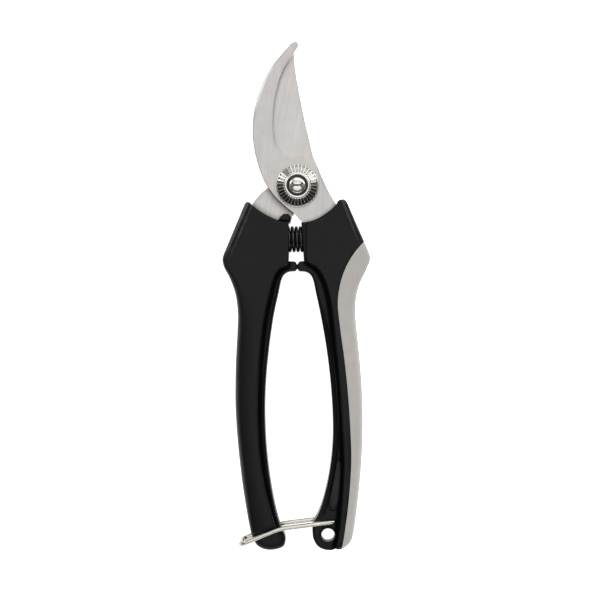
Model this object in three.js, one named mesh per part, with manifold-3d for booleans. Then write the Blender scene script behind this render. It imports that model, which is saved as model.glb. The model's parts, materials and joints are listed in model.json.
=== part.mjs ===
// Bypass pruning shears, closed and locked, lying on their back.
//
// Millimetres. The pivot axis is the Z axis, the rear faces of the handles and the flat head of the
// pivot bolt lie on z = 0, the blades point along +Y and the handles along -Y. The hook blade is the
// front one (further up Z) and belongs to the handle on the +X side; the cutting blade is the rear
// one and belongs to the handle on the -X side.

import * as THREE from 'three';
import { ConvexGeometry } from 'three/addons/geometries/ConvexGeometry.js';
import { mergeVertices } from 'three/addons/utils/BufferGeometryUtils.js';
import Module from 'manifold-3d';

const wasm = await Module();
wasm.setup();

// ---------------------------------------------------------------- driving dimensions

const THICKNESS = 17; // handles, rear face to front face
const MID = THICKNESS / 2; // plane in which the two blades slide on each other
const GAP = 0.3; // left between two pieces that touch

const CORE = { low: 2.4, high: 14.6 }; // hard handle cores, thinner than their covers
const HOOK = { low: MID + GAP / 2, high: 12.2 }; // hook blade
const CUTTER = { low: 5.2, high: MID - GAP / 2 }; // cutting blade
const GRIND = { width: 5, land: 0.5, skip: 3 }; // slope on the rear of the cutting edge, after some steps

const WALL = 2.4; // cover around the outer side of a core
const ROUND = 0.4; // rounding of the edges of cores, covers and grip
const FACET = { reach: 6, slope: 0.55 }; // fall of the facet along the outer side of each handle head

const SHANK_R = 3; // pivot bolt
const BOLT_HEAD = { flats: 13, t: 4 };
const BUSH_R = 4.5;
const BUSH_CLEARANCE = 0.2; // the cutting blade turns on the bush
const WASHER = { r: 7.5, t: 0.6 };
const WAVE_WASHER = { r: 6.5, t: 0.7 };
const DISC = { r: 8.3, low: 13.5, rimTop: 14.1, floor: 14.7, bandTop: 15.4, top: 16 };
const DISC_BAND = { inner: 5.2, outer: 7.7 }; // conical band that carries the serrations
const SERRATIONS = { count: 33, width: 0.6, depth: 0.45 };
const COLLAR = { inner: 4.1, outer: 4.9 };
const LOCK_RING = { inner: 3.3, outer: 3.8, low: 15, high: 15.4 };
const DOME = { r: 3.2, low: 15.7, high: 16.8 };
const SLOT = { width: 0.9, depth: 0.7 };

const SPRING = { y: -20.8, meanR: 4.6, wireR: 0.6, from: -8.9, to: 7.9, turns: 10 };
const SPRING_MESH = { stepsPerTurn: 11, sides: 3 };
const PEG = { r: 3.4, tipR: 2.2, leftEnd: -1.5, rightEnd: -0.5, root: 1 }; // tapered pegs in the spring
const POCKET_R = SPRING.meanR + SPRING.wireR + GAP;

const RIVET = { shankR: 1.5, headR: 2.4, headT: 0.8, sides: 16 };
const RIGHT_RIVETS = { upper: [14.4, -20.5], lower: [15.4, -36.5] };
const LEFT_RIVETS = { upper: [-15.3, -20.5], lower: [-16.2, -36.5] };

const BUMPER = { low: HOOK.low, high: 14.2, rounding: 0.8 };
const BUMPER_STEM = { r: 1.2, at: [-4.9, -12.2], sides: 20 };

const BAIL = { wireR: 0.9, pivot: [14.5, -130.8], bend: [-7, -133.5], end: [-21.9, -139.6] };
const BAIL_BENDS = { elbow: 1.8, slight: 3, bow: 2.8 };
const BAIL_EDGE = 0.05; // between the wire and the planes of the handle faces
const BAIL_PIN = 4; // length of wire that stands in the handle at each side
const BAIL_MESH = { steps: 90, sides: 4 };

const HANG_HOLE = { at: [12, -136.1], r: 2.6, rimR: 3.6, rimHeight: 0.3, rearR: 3.7, rearDepth: 6 };
const PANEL_DEPTH = 0.8; // sunk panel in the web of the right handle

const INNER_BOUND = 6; // past the inner side of a handle head, where its cover is open
const BEYOND = 4; // past the ends of a handle
const CURVE_STEPS = 3; // segments per point of a curved edge

// ---------------------------------------------------------------- edges of the outlines
// An edge is a straight or a curved run of [x, y] points. Edges that two pieces share are named.

const straight = (...points) => ({ smooth: false, points });
const curved = (...points) => ({ smooth: true, points });
const reversed = (edge) => ({ smooth: edge.smooth, points: [...edge.points].reverse() });
const shifted = (edge, dx) => ({
  smooth: edge.smooth,
  points: edge.points.map(([x, y]) => [x + dx, y]),
});
const part = (edge, from, to) => ({ smooth: edge.smooth, points: edge.points.slice(from, to) });

const hookBack = curved(
  [-2.3, 55.8], [-5.2, 52.6], [-10.5, 46], [-14.4, 38.3], [-16.8, 29.7], [-17.5, 21.1],
  [-16.5, 12.6], [-13.6, 3.4], [-9.9, -3], [-5.6, -7.5], [-1.6, -10.8],
);
const hookTang = straight(
  [-1.1, -10.8], [1.5, -13.7], [3, -14.4], [9.6, -14.5], [10.3, -28], [12.6, -42],
  [18.4, -42], [19, -28], [18.6, -14], [17.5, -11],
);
const hookHeel = curved(
  [17.5, -11], [15.1, -7.1], [12.5, -2.6], [10.3, 2], [8.7, 5.6], [7.2, 8.3], [4.8, 10], [1.6, 10.9],
);
const hookJaw = curved(
  [1.6, 10.9], [-3.6, 11.3], [-6.6, 13], [-8.5, 16.4], [-9.4, 21], [-9.5, 26], [-8.6, 34.7],
  [-6.2, 43.6], [-3, 49.6], [0.5, 55],
);
const hookTip = curved([0.5, 55], [-0.4, 56.5], [-2.3, 55.8]);

const cutterBack = curved(
  [-1.3, 53.5], [-0.9, 46.8], [0.6, 37.8], [2.4, 28.4], [4.4, 19.6], [6.3, 11.8], [8.6, 6.6],
  [9.6, 1], [8.6, -4], [5.5, -7.6], [-1.4, -10.9],
);
const cutterTang = straight(
  [-2, -11.6], [-2.7, -14.5], [-10.8, -14.6], [-11.2, -28], [-13.6, -42], [-19.2, -42],
  [-20, -28], [-19, -13], [-17.6, -6.7],
);
const cutterShoulder = curved([-17.6, -6.7], [-15.9, -4.5], [-13.9, -2.3], [-11.7, -0.4], [-10.6, 2.4]);
const cutterEdge = curved(
  [-10.6, 2.4], [-11.2, 9.5], [-12.2, 18], [-12.2, 26.6], [-10.6, 35.4], [-7.4, 44.4], [-1.3, 53.5],
);

const leftCorner = curved([-20.4, -7], [-19.4, -6.1], [-18.1, -7.1]);
const leftArc = curved([-18.1, -7.1], [-15, -9.7], [-11.9, -11.6], [-8.8, -13.1], [-5.9, -14], [-3.4, -14.3]);
const leftFace = straight([-3.4, -14.3], [-3.1, -21], [-3.4, -29.5]);
const leftStop = straight([-0.3, -29.7], [-0.3, -33.2]);
const leftInner = curved(
  [-0.3, -33.2], [-3.8, -33.7], [-6, -36], [-7.5, -42.5], [-9.3, -51], [-11, -63], [-12.2, -75.5],
  [-12.6, -88], [-12.1, -101], [-10.8, -113], [-8.8, -124.5], [-6.4, -133.4],
);
const leftTip = curved(
  [-6.4, -133.4], [-4.6, -137.2], [-5.2, -140.6], [-8.4, -142], [-12.2, -142.1], [-15.4, -140.7],
  [-17.1, -138.4], [-17.8, -136.4],
);
const leftShoulder = straight([-8.4, -132.7], [-17.9, -136]);
const leftOuter = curved(
  [-17.9, -136], [-19.4, -128.5], [-21.4, -116], [-23.1, -101], [-24.1, -86], [-24, -70], [-23.3, -56],
  [-23.2, -49], [-24.1, -42.2], [-26.3, -36], [-28.4, -32], [-29.1, -28.8], [-28.4, -26.2],
);
const leftStep = curved(
  [-3.6, -31], [-7, -32.8], [-9.2, -36.6], [-11, -43.4], [-12.9, -52], [-14.4, -64], [-15.2, -77],
  [-15.4, -90], [-14.8, -103], [-13, -115.4], [-10.8, -125], [-8.4, -132.7],
);

const rightArc = curved([3.4, -14.3], [6, -13.7], [8.8, -12.5], [11.6, -10.6], [13.6, -9], [15.2, -7.3]);
const rightCorner = curved([15.2, -7.3], [16.2, -5.8], [18.4, -5.6], [19.7, -7.4]);
const rightFace = straight([2.6, -29.4], [1.6, -14.3]);
const rightStop = straight([0.3, -33.2], [0.3, -29.7]);
const rightInner = curved(
  [6.2, -131.4], [8.6, -127.2], [11, -119.6], [12.9, -110], [13.9, -100], [13.9, -89], [13, -76],
  [11.4, -63], [9.3, -51], [7.5, -42.5], [6, -36], [3.8, -33.7], [0.3, -33.2],
);
const rightLobe = curved(
  [15, -142.2], [11.6, -142.2], [8.2, -140.8], [6.3, -137.8], [5.9, -134.4], [6.2, -131.4],
);
const rightOuter = curved(
  [26, -21.8], [28, -26.6], [28.3, -29.2], [26.8, -33], [24.4, -38], [23, -43.4], [22.7, -49.4],
  [23.3, -57], [24.6, -70], [25.4, -83.5], [25.5, -97], [24.8, -111], [23.2, -126.4], [21.6, -136.8],
  [19.6, -140.2], [17.2, -141.7],
);
const rightStep = curved(
  [3.8, -29.9], [7.2, -31.8], [9.8, -35.2], [11.6, -39.8], [13, -46], [14.3, -56], [15.6, -68],
  [16.8, -81.5], [17.6, -95], [18.1, -107], [17.5, -120], [16.4, -132.6], [15, -142],
);
const gripBoundary = curved(
  [26, -21.8], [22.2, -26.2], [18.8, -32], [16.6, -38.6], [15.7, -46], [16.6, -55.4], [18.3, -68],
  [19.7, -81.6], [20.6, -95], [20.9, -108], [20, -122], [18.5, -134], [17.2, -141.7],
);

// ---------------------------------------------------------------- shapes and solids

/** Closed outline: each edge starts where the last one ended, or is joined to it by a straight line. */
function outline(...edges) {
  const shape = new THREE.Shape();
  edges.forEach(({ smooth, points }, index) => {
    const vectors = points.map(([x, y]) => new THREE.Vector2(x, y));
    const first = vectors.shift();
    if (index === 0) {
      shape.moveTo(first.x, first.y);
    } else if (shape.currentPoint.distanceTo(first) > 1e-6) {
      shape.lineTo(first.x, first.y);
    }
    if (smooth) {
      shape.splineThru(vectors);
    } else {
      vectors.forEach((point) => shape.lineTo(point.x, point.y));
    }
  });
  return shape;
}

/** A closed three.js geometry as a solid that can be joined and cut. */
function solid(geometry) {
  const bare = geometry.clone();
  bare.deleteAttribute('normal');
  bare.deleteAttribute('uv');
  const merged = mergeVertices(bare, 1e-4);
  return new wasm.Manifold(new wasm.Mesh({
    numProp: 3,
    vertProperties: new Float32Array(merged.attributes.position.array),
    triVerts: new Uint32Array(merged.index.array),
  }));
}

/** Flat piece between two heights, with its edges broken by a rounding. */
function plate(shape, low, high, rounding = 0) {
  const geometry = new THREE.ExtrudeGeometry(shape, {
    depth: high - low - 2 * rounding,
    curveSegments: CURVE_STEPS,
    bevelEnabled: rounding > 0,
    bevelThickness: rounding,
    bevelSize: rounding,
    bevelOffset: -rounding,
    bevelSegments: 1,
  });
  geometry.translate(0, 0, low + rounding);
  return solid(geometry);
}

/** Upright cylinder; six segments make a hexagon. */
function post(radius, low, high, [x, y] = [0, 0], segments = 32) {
  const geometry = new THREE.CylinderGeometry(radius, radius, high - low, segments);
  geometry.rotateX(Math.PI / 2);
  geometry.translate(x, y, (low + high) / 2);
  return solid(geometry);
}

/** Upright hole cutter, long enough to pass through the whole object. */
function drill(radius, place, segments) {
  return post(radius, -1, THICKNESS + 1, place, segments);
}

function ring(outer, inner, low, high) {
  return post(outer, low, high).subtract(drill(inner));
}

/** Cylinder or cone along X on the spring's axis. */
function barrel(fromRadius, from, to, toRadius = fromRadius) {
  const geometry = new THREE.CylinderGeometry(fromRadius, toRadius, to - from, 24);
  geometry.rotateZ(Math.PI / 2);
  geometry.translate((from + to) / 2, SPRING.y, MID);
  return solid(geometry);
}

/** Solid of revolution about Z, from [radius, z] points that start and end on the axis or close. */
function turned(points, segments) {
  const profile = points.map(([r, z]) => new THREE.Vector2(r, z));
  const geometry = new THREE.LatheGeometry(profile, segments);
  geometry.rotateX(Math.PI / 2);
  return solid(geometry);
}

/** Smallest convex solid around a list of [x, y, z] points. */
function hull(points) {
  return solid(new ConvexGeometry(points.map((point) => new THREE.Vector3(...point))));
}

/** Round wire along a curve. */
function wire(path, radius, steps, sides) {
  const section = new THREE.Shape();
  section.absarc(0, 0, radius, 0, 2 * Math.PI);
  return solid(new THREE.ExtrudeGeometry(section, {
    extrudePath: path,
    steps,
    curveSegments: sides,
    bevelEnabled: false,
  }));
}

/** The same cut made into the front of a body and, mirrored, into its rear. */
function cutBothFaces(body, cutter) {
  const mirrored = cutter.mirror([0, 0, 1]).translate([0, 0, THICKNESS]);
  return body.subtract(cutter).subtract(mirrored);
}

const steel = { color: 0xc9c6c1, roughness: 0.38, metalness: 1 };
const chrome = { color: 0xd8d6d0, roughness: 0.16, metalness: 1 };
const darkSteel = { color: 0x2c2a28, roughness: 0.4, metalness: 1 };
const bronze = { color: 0x9a7648, roughness: 0.4, metalness: 1 };
const hardBlack = { color: 0x1d1d1d, roughness: 0.42, metalness: 0 };
const softBlack = { color: 0x252525, roughness: 0.62, metalness: 0 };
const softGrey = { color: 0xb5b2ab, roughness: 0.66, metalness: 0 };

const shears = new THREE.Group();

function piece(name, body, look) {
  const { vertProperties, triVerts } = body.getMesh();
  const geometry = new THREE.BufferGeometry();
  geometry.setAttribute('position', new THREE.BufferAttribute(new Float32Array(vertProperties), 3));
  geometry.setIndex(new THREE.BufferAttribute(new Uint32Array(triVerts), 1));
  geometry.computeVertexNormals();
  const mesh = new THREE.Mesh(geometry, new THREE.MeshStandardMaterial(look));
  mesh.name = name;
  shears.add(mesh);
}

// ---------------------------------------------------------------- blades

/** Blade plate with its pivot bore and the rivet holes in its tang. */
function blade(shape, { low, high }, boreR, rivets) {
  let body = plate(shape, low, high).subtract(drill(boreR));
  for (const place of Object.values(rivets)) {
    body = body.subtract(drill(RIVET.shankR + GAP, place, RIVET.sides));
  }
  return body;
}

/** Slope ground on the rear of the cutting blade: one wedge along each stretch of its edge. */
function grind(body) {
  const edge = outline(cutterEdge).getPoints(CURVE_STEPS);
  const rise = (CUTTER.high - GRIND.land - CUTTER.low) / GRIND.width;
  const over = 1; // how far each wedge runs past the steel
  let ground = body;
  for (let i = GRIND.skip; i < edge.length - 1; i += 1) {
    const along = edge[i + 1].clone().sub(edge[i]).normalize();
    const inward = new THREE.Vector2(along.y, -along.x);
    const at = (point, depth, z) => [point.x + inward.x * depth, point.y + inward.y * depth, z];
    const start = edge[i].clone().addScaledVector(along, -over / 4);
    const end = edge[i + 1].clone().addScaledVector(along, over / 4);
    const wedge = [start, end].flatMap((point) => [
      at(point, -over, CUTTER.high - GRIND.land + rise * over),
      at(point, -over, CUTTER.low - over),
      at(point, GRIND.width + over, CUTTER.low - rise * over),
    ]);
    ground = ground.subtract(hull(wedge));
  }
  return ground;
}

const hookShape = outline(hookBack, hookTang, hookHeel, hookJaw, hookTip);
const cutterShape = outline(cutterBack, cutterTang, cutterShoulder, cutterEdge);

function cuttingBlade() {
  const bumperHole = drill(BUMPER_STEM.r + GAP, BUMPER_STEM.at, BUMPER_STEM.sides);
  const body = blade(cutterShape, CUTTER, BUSH_R + BUSH_CLEARANCE, LEFT_RIVETS);
  return grind(body.subtract(bumperHole));
}

piece('counter_blade', blade(hookShape, HOOK, BUSH_R + GAP, RIGHT_RIVETS), steel);
piece('cutting_blade', cuttingBlade(), steel);

// ---------------------------------------------------------------- pivot

function pivotBolt() {
  const cornerR = BOLT_HEAD.flats / Math.sqrt(3);
  const head = post(cornerR, 0, BOLT_HEAD.t, [0, 0], 6);
  const shank = post(SHANK_R, BOLT_HEAD.t - 1, DOME.low + 0.1);
  const rise = DOME.high - DOME.low;
  const dome = turned([
    [0, DOME.low - 0.2], [DOME.r, DOME.low - 0.2], [DOME.r, DOME.low], [DOME.r * 0.87, DOME.low + rise * 0.5],
    [DOME.r * 0.6, DOME.low + rise * 0.82], [DOME.r * 0.3, DOME.low + rise * 0.96], [0, DOME.high],
  ], 32);
  const slot = solid(new THREE.BoxGeometry(3 * DOME.r, SLOT.width, 2 * SLOT.depth));
  return head.add(shank).add(dome).subtract(slot.translate([0, 0, DOME.high]));
}

/** Adjusting nut: a dished disc with a collar and radial serrations on its conical band. */
function pivotDisc() {
  const bore = SHANK_R + GAP;
  let disc = turned([
    [bore, DISC.low], [DISC.r, DISC.low], [DISC.r, DISC.rimTop - 0.2], [DISC.r - 0.2, DISC.rimTop],
    [DISC_BAND.outer, DISC.rimTop + 0.1], [DISC_BAND.inner, DISC.bandTop], [COLLAR.outer, DISC.bandTop],
    [COLLAR.outer, DISC.top - 0.15], [COLLAR.outer - 0.15, DISC.top], [COLLAR.inner, DISC.top],
    [COLLAR.inner, DISC.floor], [bore, DISC.floor], [bore, DISC.low],
  ], SERRATIONS.count);
  const run = DISC_BAND.outer - DISC_BAND.inner;
  const slope = Math.atan2(DISC.bandTop - DISC.rimTop - 0.1, run);
  const groove = new THREE.BoxGeometry(run / Math.cos(slope), SERRATIONS.width, 2 * SERRATIONS.depth);
  groove.rotateY(slope);
  groove.translate(DISC_BAND.inner + run / 2, 0, (DISC.bandTop + DISC.rimTop + 0.1) / 2);
  for (let i = 0; i < SERRATIONS.count; i += 1) {
    const turnedGroove = groove.clone().rotateZ((2 * Math.PI * (i + 0.5)) / SERRATIONS.count);
    disc = disc.subtract(solid(turnedGroove));
  }
  return disc;
}

const washerTop = CUTTER.low - GAP;
const waveBottom = HOOK.high + GAP;
piece('pivot_bolt', pivotBolt(), chrome);
piece('rear_washer', ring(WASHER.r, SHANK_R + GAP, washerTop - WASHER.t, washerTop), chrome);
piece('pivot_bush', ring(BUSH_R, SHANK_R + GAP, CUTTER.low, HOOK.high), bronze);
piece('wave_washer', ring(WAVE_WASHER.r, SHANK_R + GAP, waveBottom, waveBottom + WAVE_WASHER.t), darkSteel);
piece('pivot_disc', pivotDisc(), chrome);
piece('lock_ring', ring(LOCK_RING.outer, LOCK_RING.inner, LOCK_RING.low, LOCK_RING.high), darkSteel);

// ---------------------------------------------------------------- handles

/** Slot for a tang, open at the head's top. */
function tangSlot(points, { low, high }) {
  return plate(outline(straight(...points)), low - GAP, high + GAP);
}

/** Holes for one rivet: the shank and the sunk heads. */
function rivetSeat(place) {
  const depth = RIVET.headT + GAP;
  const shank = drill(RIVET.shankR + GAP, place, RIVET.sides);
  const front = post(RIVET.headR + GAP, CORE.high - depth, THICKNESS, place, RIVET.sides);
  const rear = post(RIVET.headR + GAP, 0, CORE.low + depth, place, RIVET.sides);
  return shank.add(front).add(rear);
}

function rivet(place) {
  const low = CORE.low + 0.1;
  const high = CORE.high - 0.1;
  const shank = post(RIVET.shankR, low, high, place, RIVET.sides);
  const front = post(RIVET.headR, high - RIVET.headT, high, place, RIVET.sides);
  const rear = post(RIVET.headR, low, low + RIVET.headT, place, RIVET.sides);
  return shank.add(front).add(rear);
}

/** Facet along the outer side of a handle head: everything above a plane that falls outward. */
function facet([fromX, fromY], [toX, toY], side) {
  const { reach, slope } = FACET;
  const corners = [[fromX, fromY], [toX, toY]].flatMap(([x, y]) => [
    [x, y, THICKNESS],
    [x, y, THICKNESS + 1],
    [x + side * reach, y, THICKNESS - reach * slope],
    [x + side * reach, y, THICKNESS + 1],
  ]);
  return hull(corners);
}

// Left handle, on the cutting blade.
const leftCoreShape = outline(
  curved([-16.9, -8.2], ...leftArc.points.slice(1)),
  leftFace,
  leftStop,
  leftInner,
  leftTip,
  straight([-15.6, -135.6]),
  shifted(part(leftOuter, 1), WALL),
  straight([-18.8, -9]),
);
const leftCoverShape = outline(
  leftCorner, leftArc, leftFace, leftStep, leftShoulder, leftOuter,
);
const leftCavityShape = outline(
  straight([INNER_BOUND, -136 - BEYOND], [-15.2, -136 - BEYOND]),
  shifted(leftOuter, WALL - GAP),
  straight([-18.3, -7], [-17.2, -7 + BEYOND], [INNER_BOUND, -7 + BEYOND]),
);
const leftTangSlot = [
  [-2.4, -7], [-2.4, -14.8], [-10.5, -14.9], [-10.9, -28], [-13.3, -42.3], [-19.5, -42.3],
  [-20.3, -28], [-19.3, -13], [-17.9, -6.6], [-17.9, -4],
];

function leftCore() {
  let body = plate(leftCoreShape, CORE.low, CORE.high, ROUND);
  body = body.subtract(barrel(POCKET_R, SPRING.from - GAP, 0));
  body = body.add(barrel(PEG.r, SPRING.from - PEG.root, PEG.leftEnd, PEG.tipR));
  body = body.subtract(tangSlot(leftTangSlot, CUTTER));
  for (const place of Object.values(LEFT_RIVETS)) {
    body = body.subtract(rivetSeat(place));
  }
  return body;
}

function leftCover() {
  const body = plate(leftCoverShape, 0, THICKNESS, ROUND);
  const cavity = plate(leftCavityShape, CORE.low - GAP, CORE.high + GAP);
  return cutBothFaces(body.subtract(cavity), facet([-17, -6], [-27, -28.2], -1));
}

function stopBumper() {
  const shape = outline(straight(
    [-7.4, -13.5], [-6.7, -12.1], [-5.4, -11], [-3.4, -11], [-2.3, -12.5], [-2.9, -13.7],
  ));
  const block = plate(shape, BUMPER.low, BUMPER.high, BUMPER.rounding);
  const stem = post(BUMPER_STEM.r, CUTTER.low + GAP, BUMPER.low + 1, BUMPER_STEM.at, BUMPER_STEM.sides);
  return block.add(stem);
}

piece('left_core', leftCore(), hardBlack);
piece('left_cover', leftCover(), softBlack);
piece('left_rivet_upper', rivet(LEFT_RIVETS.upper), steel);
piece('left_rivet_lower', rivet(LEFT_RIVETS.lower), steel);
piece('stop_bumper', stopBumper(), softBlack);

// Right handle, on the hook blade.
const rightCoreShape = outline(
  straight([1.6, -14.3]),
  part(rightArc, 0, 5),
  straight([15.2, -8.4], [17.6, -8.6]),
  shifted(part(rightOuter, 0, 14), -WALL),
  straight([17.4, -139.6], [15, -141.6], [13.2, -142.1]),
  curved([13.2, -142.1], [11, -142], ...rightLobe.points.slice(2)),
  rightInner,
  rightStop,
  rightFace,
);
const rightShellShape = outline(
  rightArc, rightCorner, rightOuter, reversed(rightStep), straight([3.4, -28.3]),
);
/** Everything on the outer side of the line where the black cover meets the grey grip. */
const gripSide = (inset) => outline(
  straight([40, -150], [40, -16 - inset], [29, -17.6 - inset]),
  shifted(gripBoundary, inset),
  straight([17, -150]),
);
const rightCavityShape = outline(
  straight([-INNER_BOUND, -7 + BEYOND], [16.6, -7 + BEYOND], [17.6, -7.4]),
  shifted(part(rightOuter, 0, 14), GAP - WALL),
  straight([17.8, -139.6], [17, -142 - BEYOND], [-INNER_BOUND, -142 - BEYOND]),
);
const rightTangSlot = [
  [-2, -7], [-2, -10.8], [1.2, -14], [2.8, -14.7], [9.3, -14.8], [10, -28], [12.3, -42.3],
  [18.7, -42.3], [19.3, -28], [18.9, -14], [17.8, -10.8], [13, -2],
];
const webPanel = curved(
  [16, -106], [17.1, -109], [16.9, -116], [16.2, -122.6], [15, -126.2], [13.3, -126.8],
  [12.2, -125.2], [12.6, -119.6], [13.8, -113], [15, -107.4], [16, -106],
);

function rightCore() {
  let body = plate(rightCoreShape, CORE.low, CORE.high, ROUND);
  body = body.subtract(barrel(POCKET_R, 0, SPRING.to + GAP));
  body = body.add(barrel(PEG.tipR, PEG.rightEnd, SPRING.to + PEG.root, PEG.r));
  body = body.subtract(tangSlot(rightTangSlot, HOOK));
  for (const place of Object.values(RIGHT_RIVETS)) {
    body = body.subtract(rivetSeat(place));
  }
  body = cutBothFaces(body, plate(outline(webPanel), CORE.high - PANEL_DEPTH, THICKNESS));
  const { at, r, rimR, rimHeight, rearR, rearDepth } = HANG_HOLE;
  body = body.add(post(rimR, MID, CORE.high + rimHeight, at));
  body = body.subtract(drill(r, at)).subtract(post(rearR, 0, CORE.low + rearDepth, at));
  return body.subtract(drill(BAIL.wireR + GAP, BAIL.pivot, 24));
}

/** The cover and the grip are one outer shell, split along the line between their colours. */
function rightShell() {
  const cavity = plate(rightCavityShape, CORE.low - GAP, CORE.high + GAP);
  const shell = plate(rightShellShape, 0, THICKNESS, ROUND).subtract(cavity);
  return cutBothFaces(shell, facet([17.2, -5], [25, -24.9], 1));
}

const beyondFaces = [-1, THICKNESS + 1];
const rightCover = rightShell().subtract(plate(gripSide(-GAP / 2), ...beyondFaces));
const rightGrip = rightShell().intersect(plate(gripSide(GAP / 2), ...beyondFaces));

piece('right_core', rightCore(), hardBlack);
piece('right_cover', rightCover, softBlack);
piece('right_grip', rightGrip, softGrey);
piece('right_rivet_upper', rivet(RIGHT_RIVETS.upper), steel);
piece('right_rivet_lower', rivet(RIGHT_RIVETS.lower), steel);

// ---------------------------------------------------------------- spring and lock

class Helix extends THREE.Curve {
  getPoint(t) {
    const angle = 2 * Math.PI * SPRING.turns * t;
    const x = THREE.MathUtils.lerp(SPRING.from + SPRING.wireR, SPRING.to - SPRING.wireR, t);
    return new THREE.Vector3(
      x,
      SPRING.y + SPRING.meanR * Math.cos(angle),
      MID + SPRING.meanR * Math.sin(angle),
    );
  }
}

/** Straight runs joined by rounded corners; each corner is [x, y, z, radius]. */
function bentPath(start, corners, end) {
  const path = new THREE.CurvePath();
  const stops = [new THREE.Vector3(...start)];
  corners.forEach(([x, y, z]) => stops.push(new THREE.Vector3(x, y, z)));
  stops.push(new THREE.Vector3(...end));
  let last = stops[0];
  corners.forEach((corner, index) => {
    const [before, at, after] = stops.slice(index, index + 3);
    const radius = corner[3];
    const enter = at.clone().add(before.clone().sub(at).setLength(radius));
    const leave = at.clone().add(after.clone().sub(at).setLength(radius));
    path.add(new THREE.LineCurve3(last, enter));
    path.add(new THREE.QuadraticBezierCurve3(enter, at, leave));
    last = leave;
  });
  path.add(new THREE.LineCurve3(last, stops[stops.length - 1]));
  return path;
}

function lockBail() {
  const top = THICKNESS - BAIL.wireR - BAIL_EDGE;
  const bottom = BAIL.wireR + BAIL_EDGE;
  const { elbow, slight, bow } = BAIL_BENDS;
  const path = bentPath(
    [...BAIL.pivot, top - BAIL_PIN],
    [
      [...BAIL.pivot, top, elbow],
      [...BAIL.bend, top, slight],
      [...BAIL.end, top, bow],
      [...BAIL.end, bottom, bow],
      [...BAIL.bend, bottom, slight],
      [...BAIL.pivot, bottom, elbow],
    ],
    [...BAIL.pivot, bottom + BAIL_PIN],
  );
  return wire(path, BAIL.wireR, BAIL_MESH.steps, BAIL_MESH.sides);
}

function returnSpring() {
  const steps = SPRING.turns * SPRING_MESH.stepsPerTurn;
  return wire(new Helix(), SPRING.wireR, steps, SPRING_MESH.sides);
}

piece('return_spring', returnSpring(), darkSteel);
piece('lock_bail', lockBail(), chrome);

export default shears;
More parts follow.
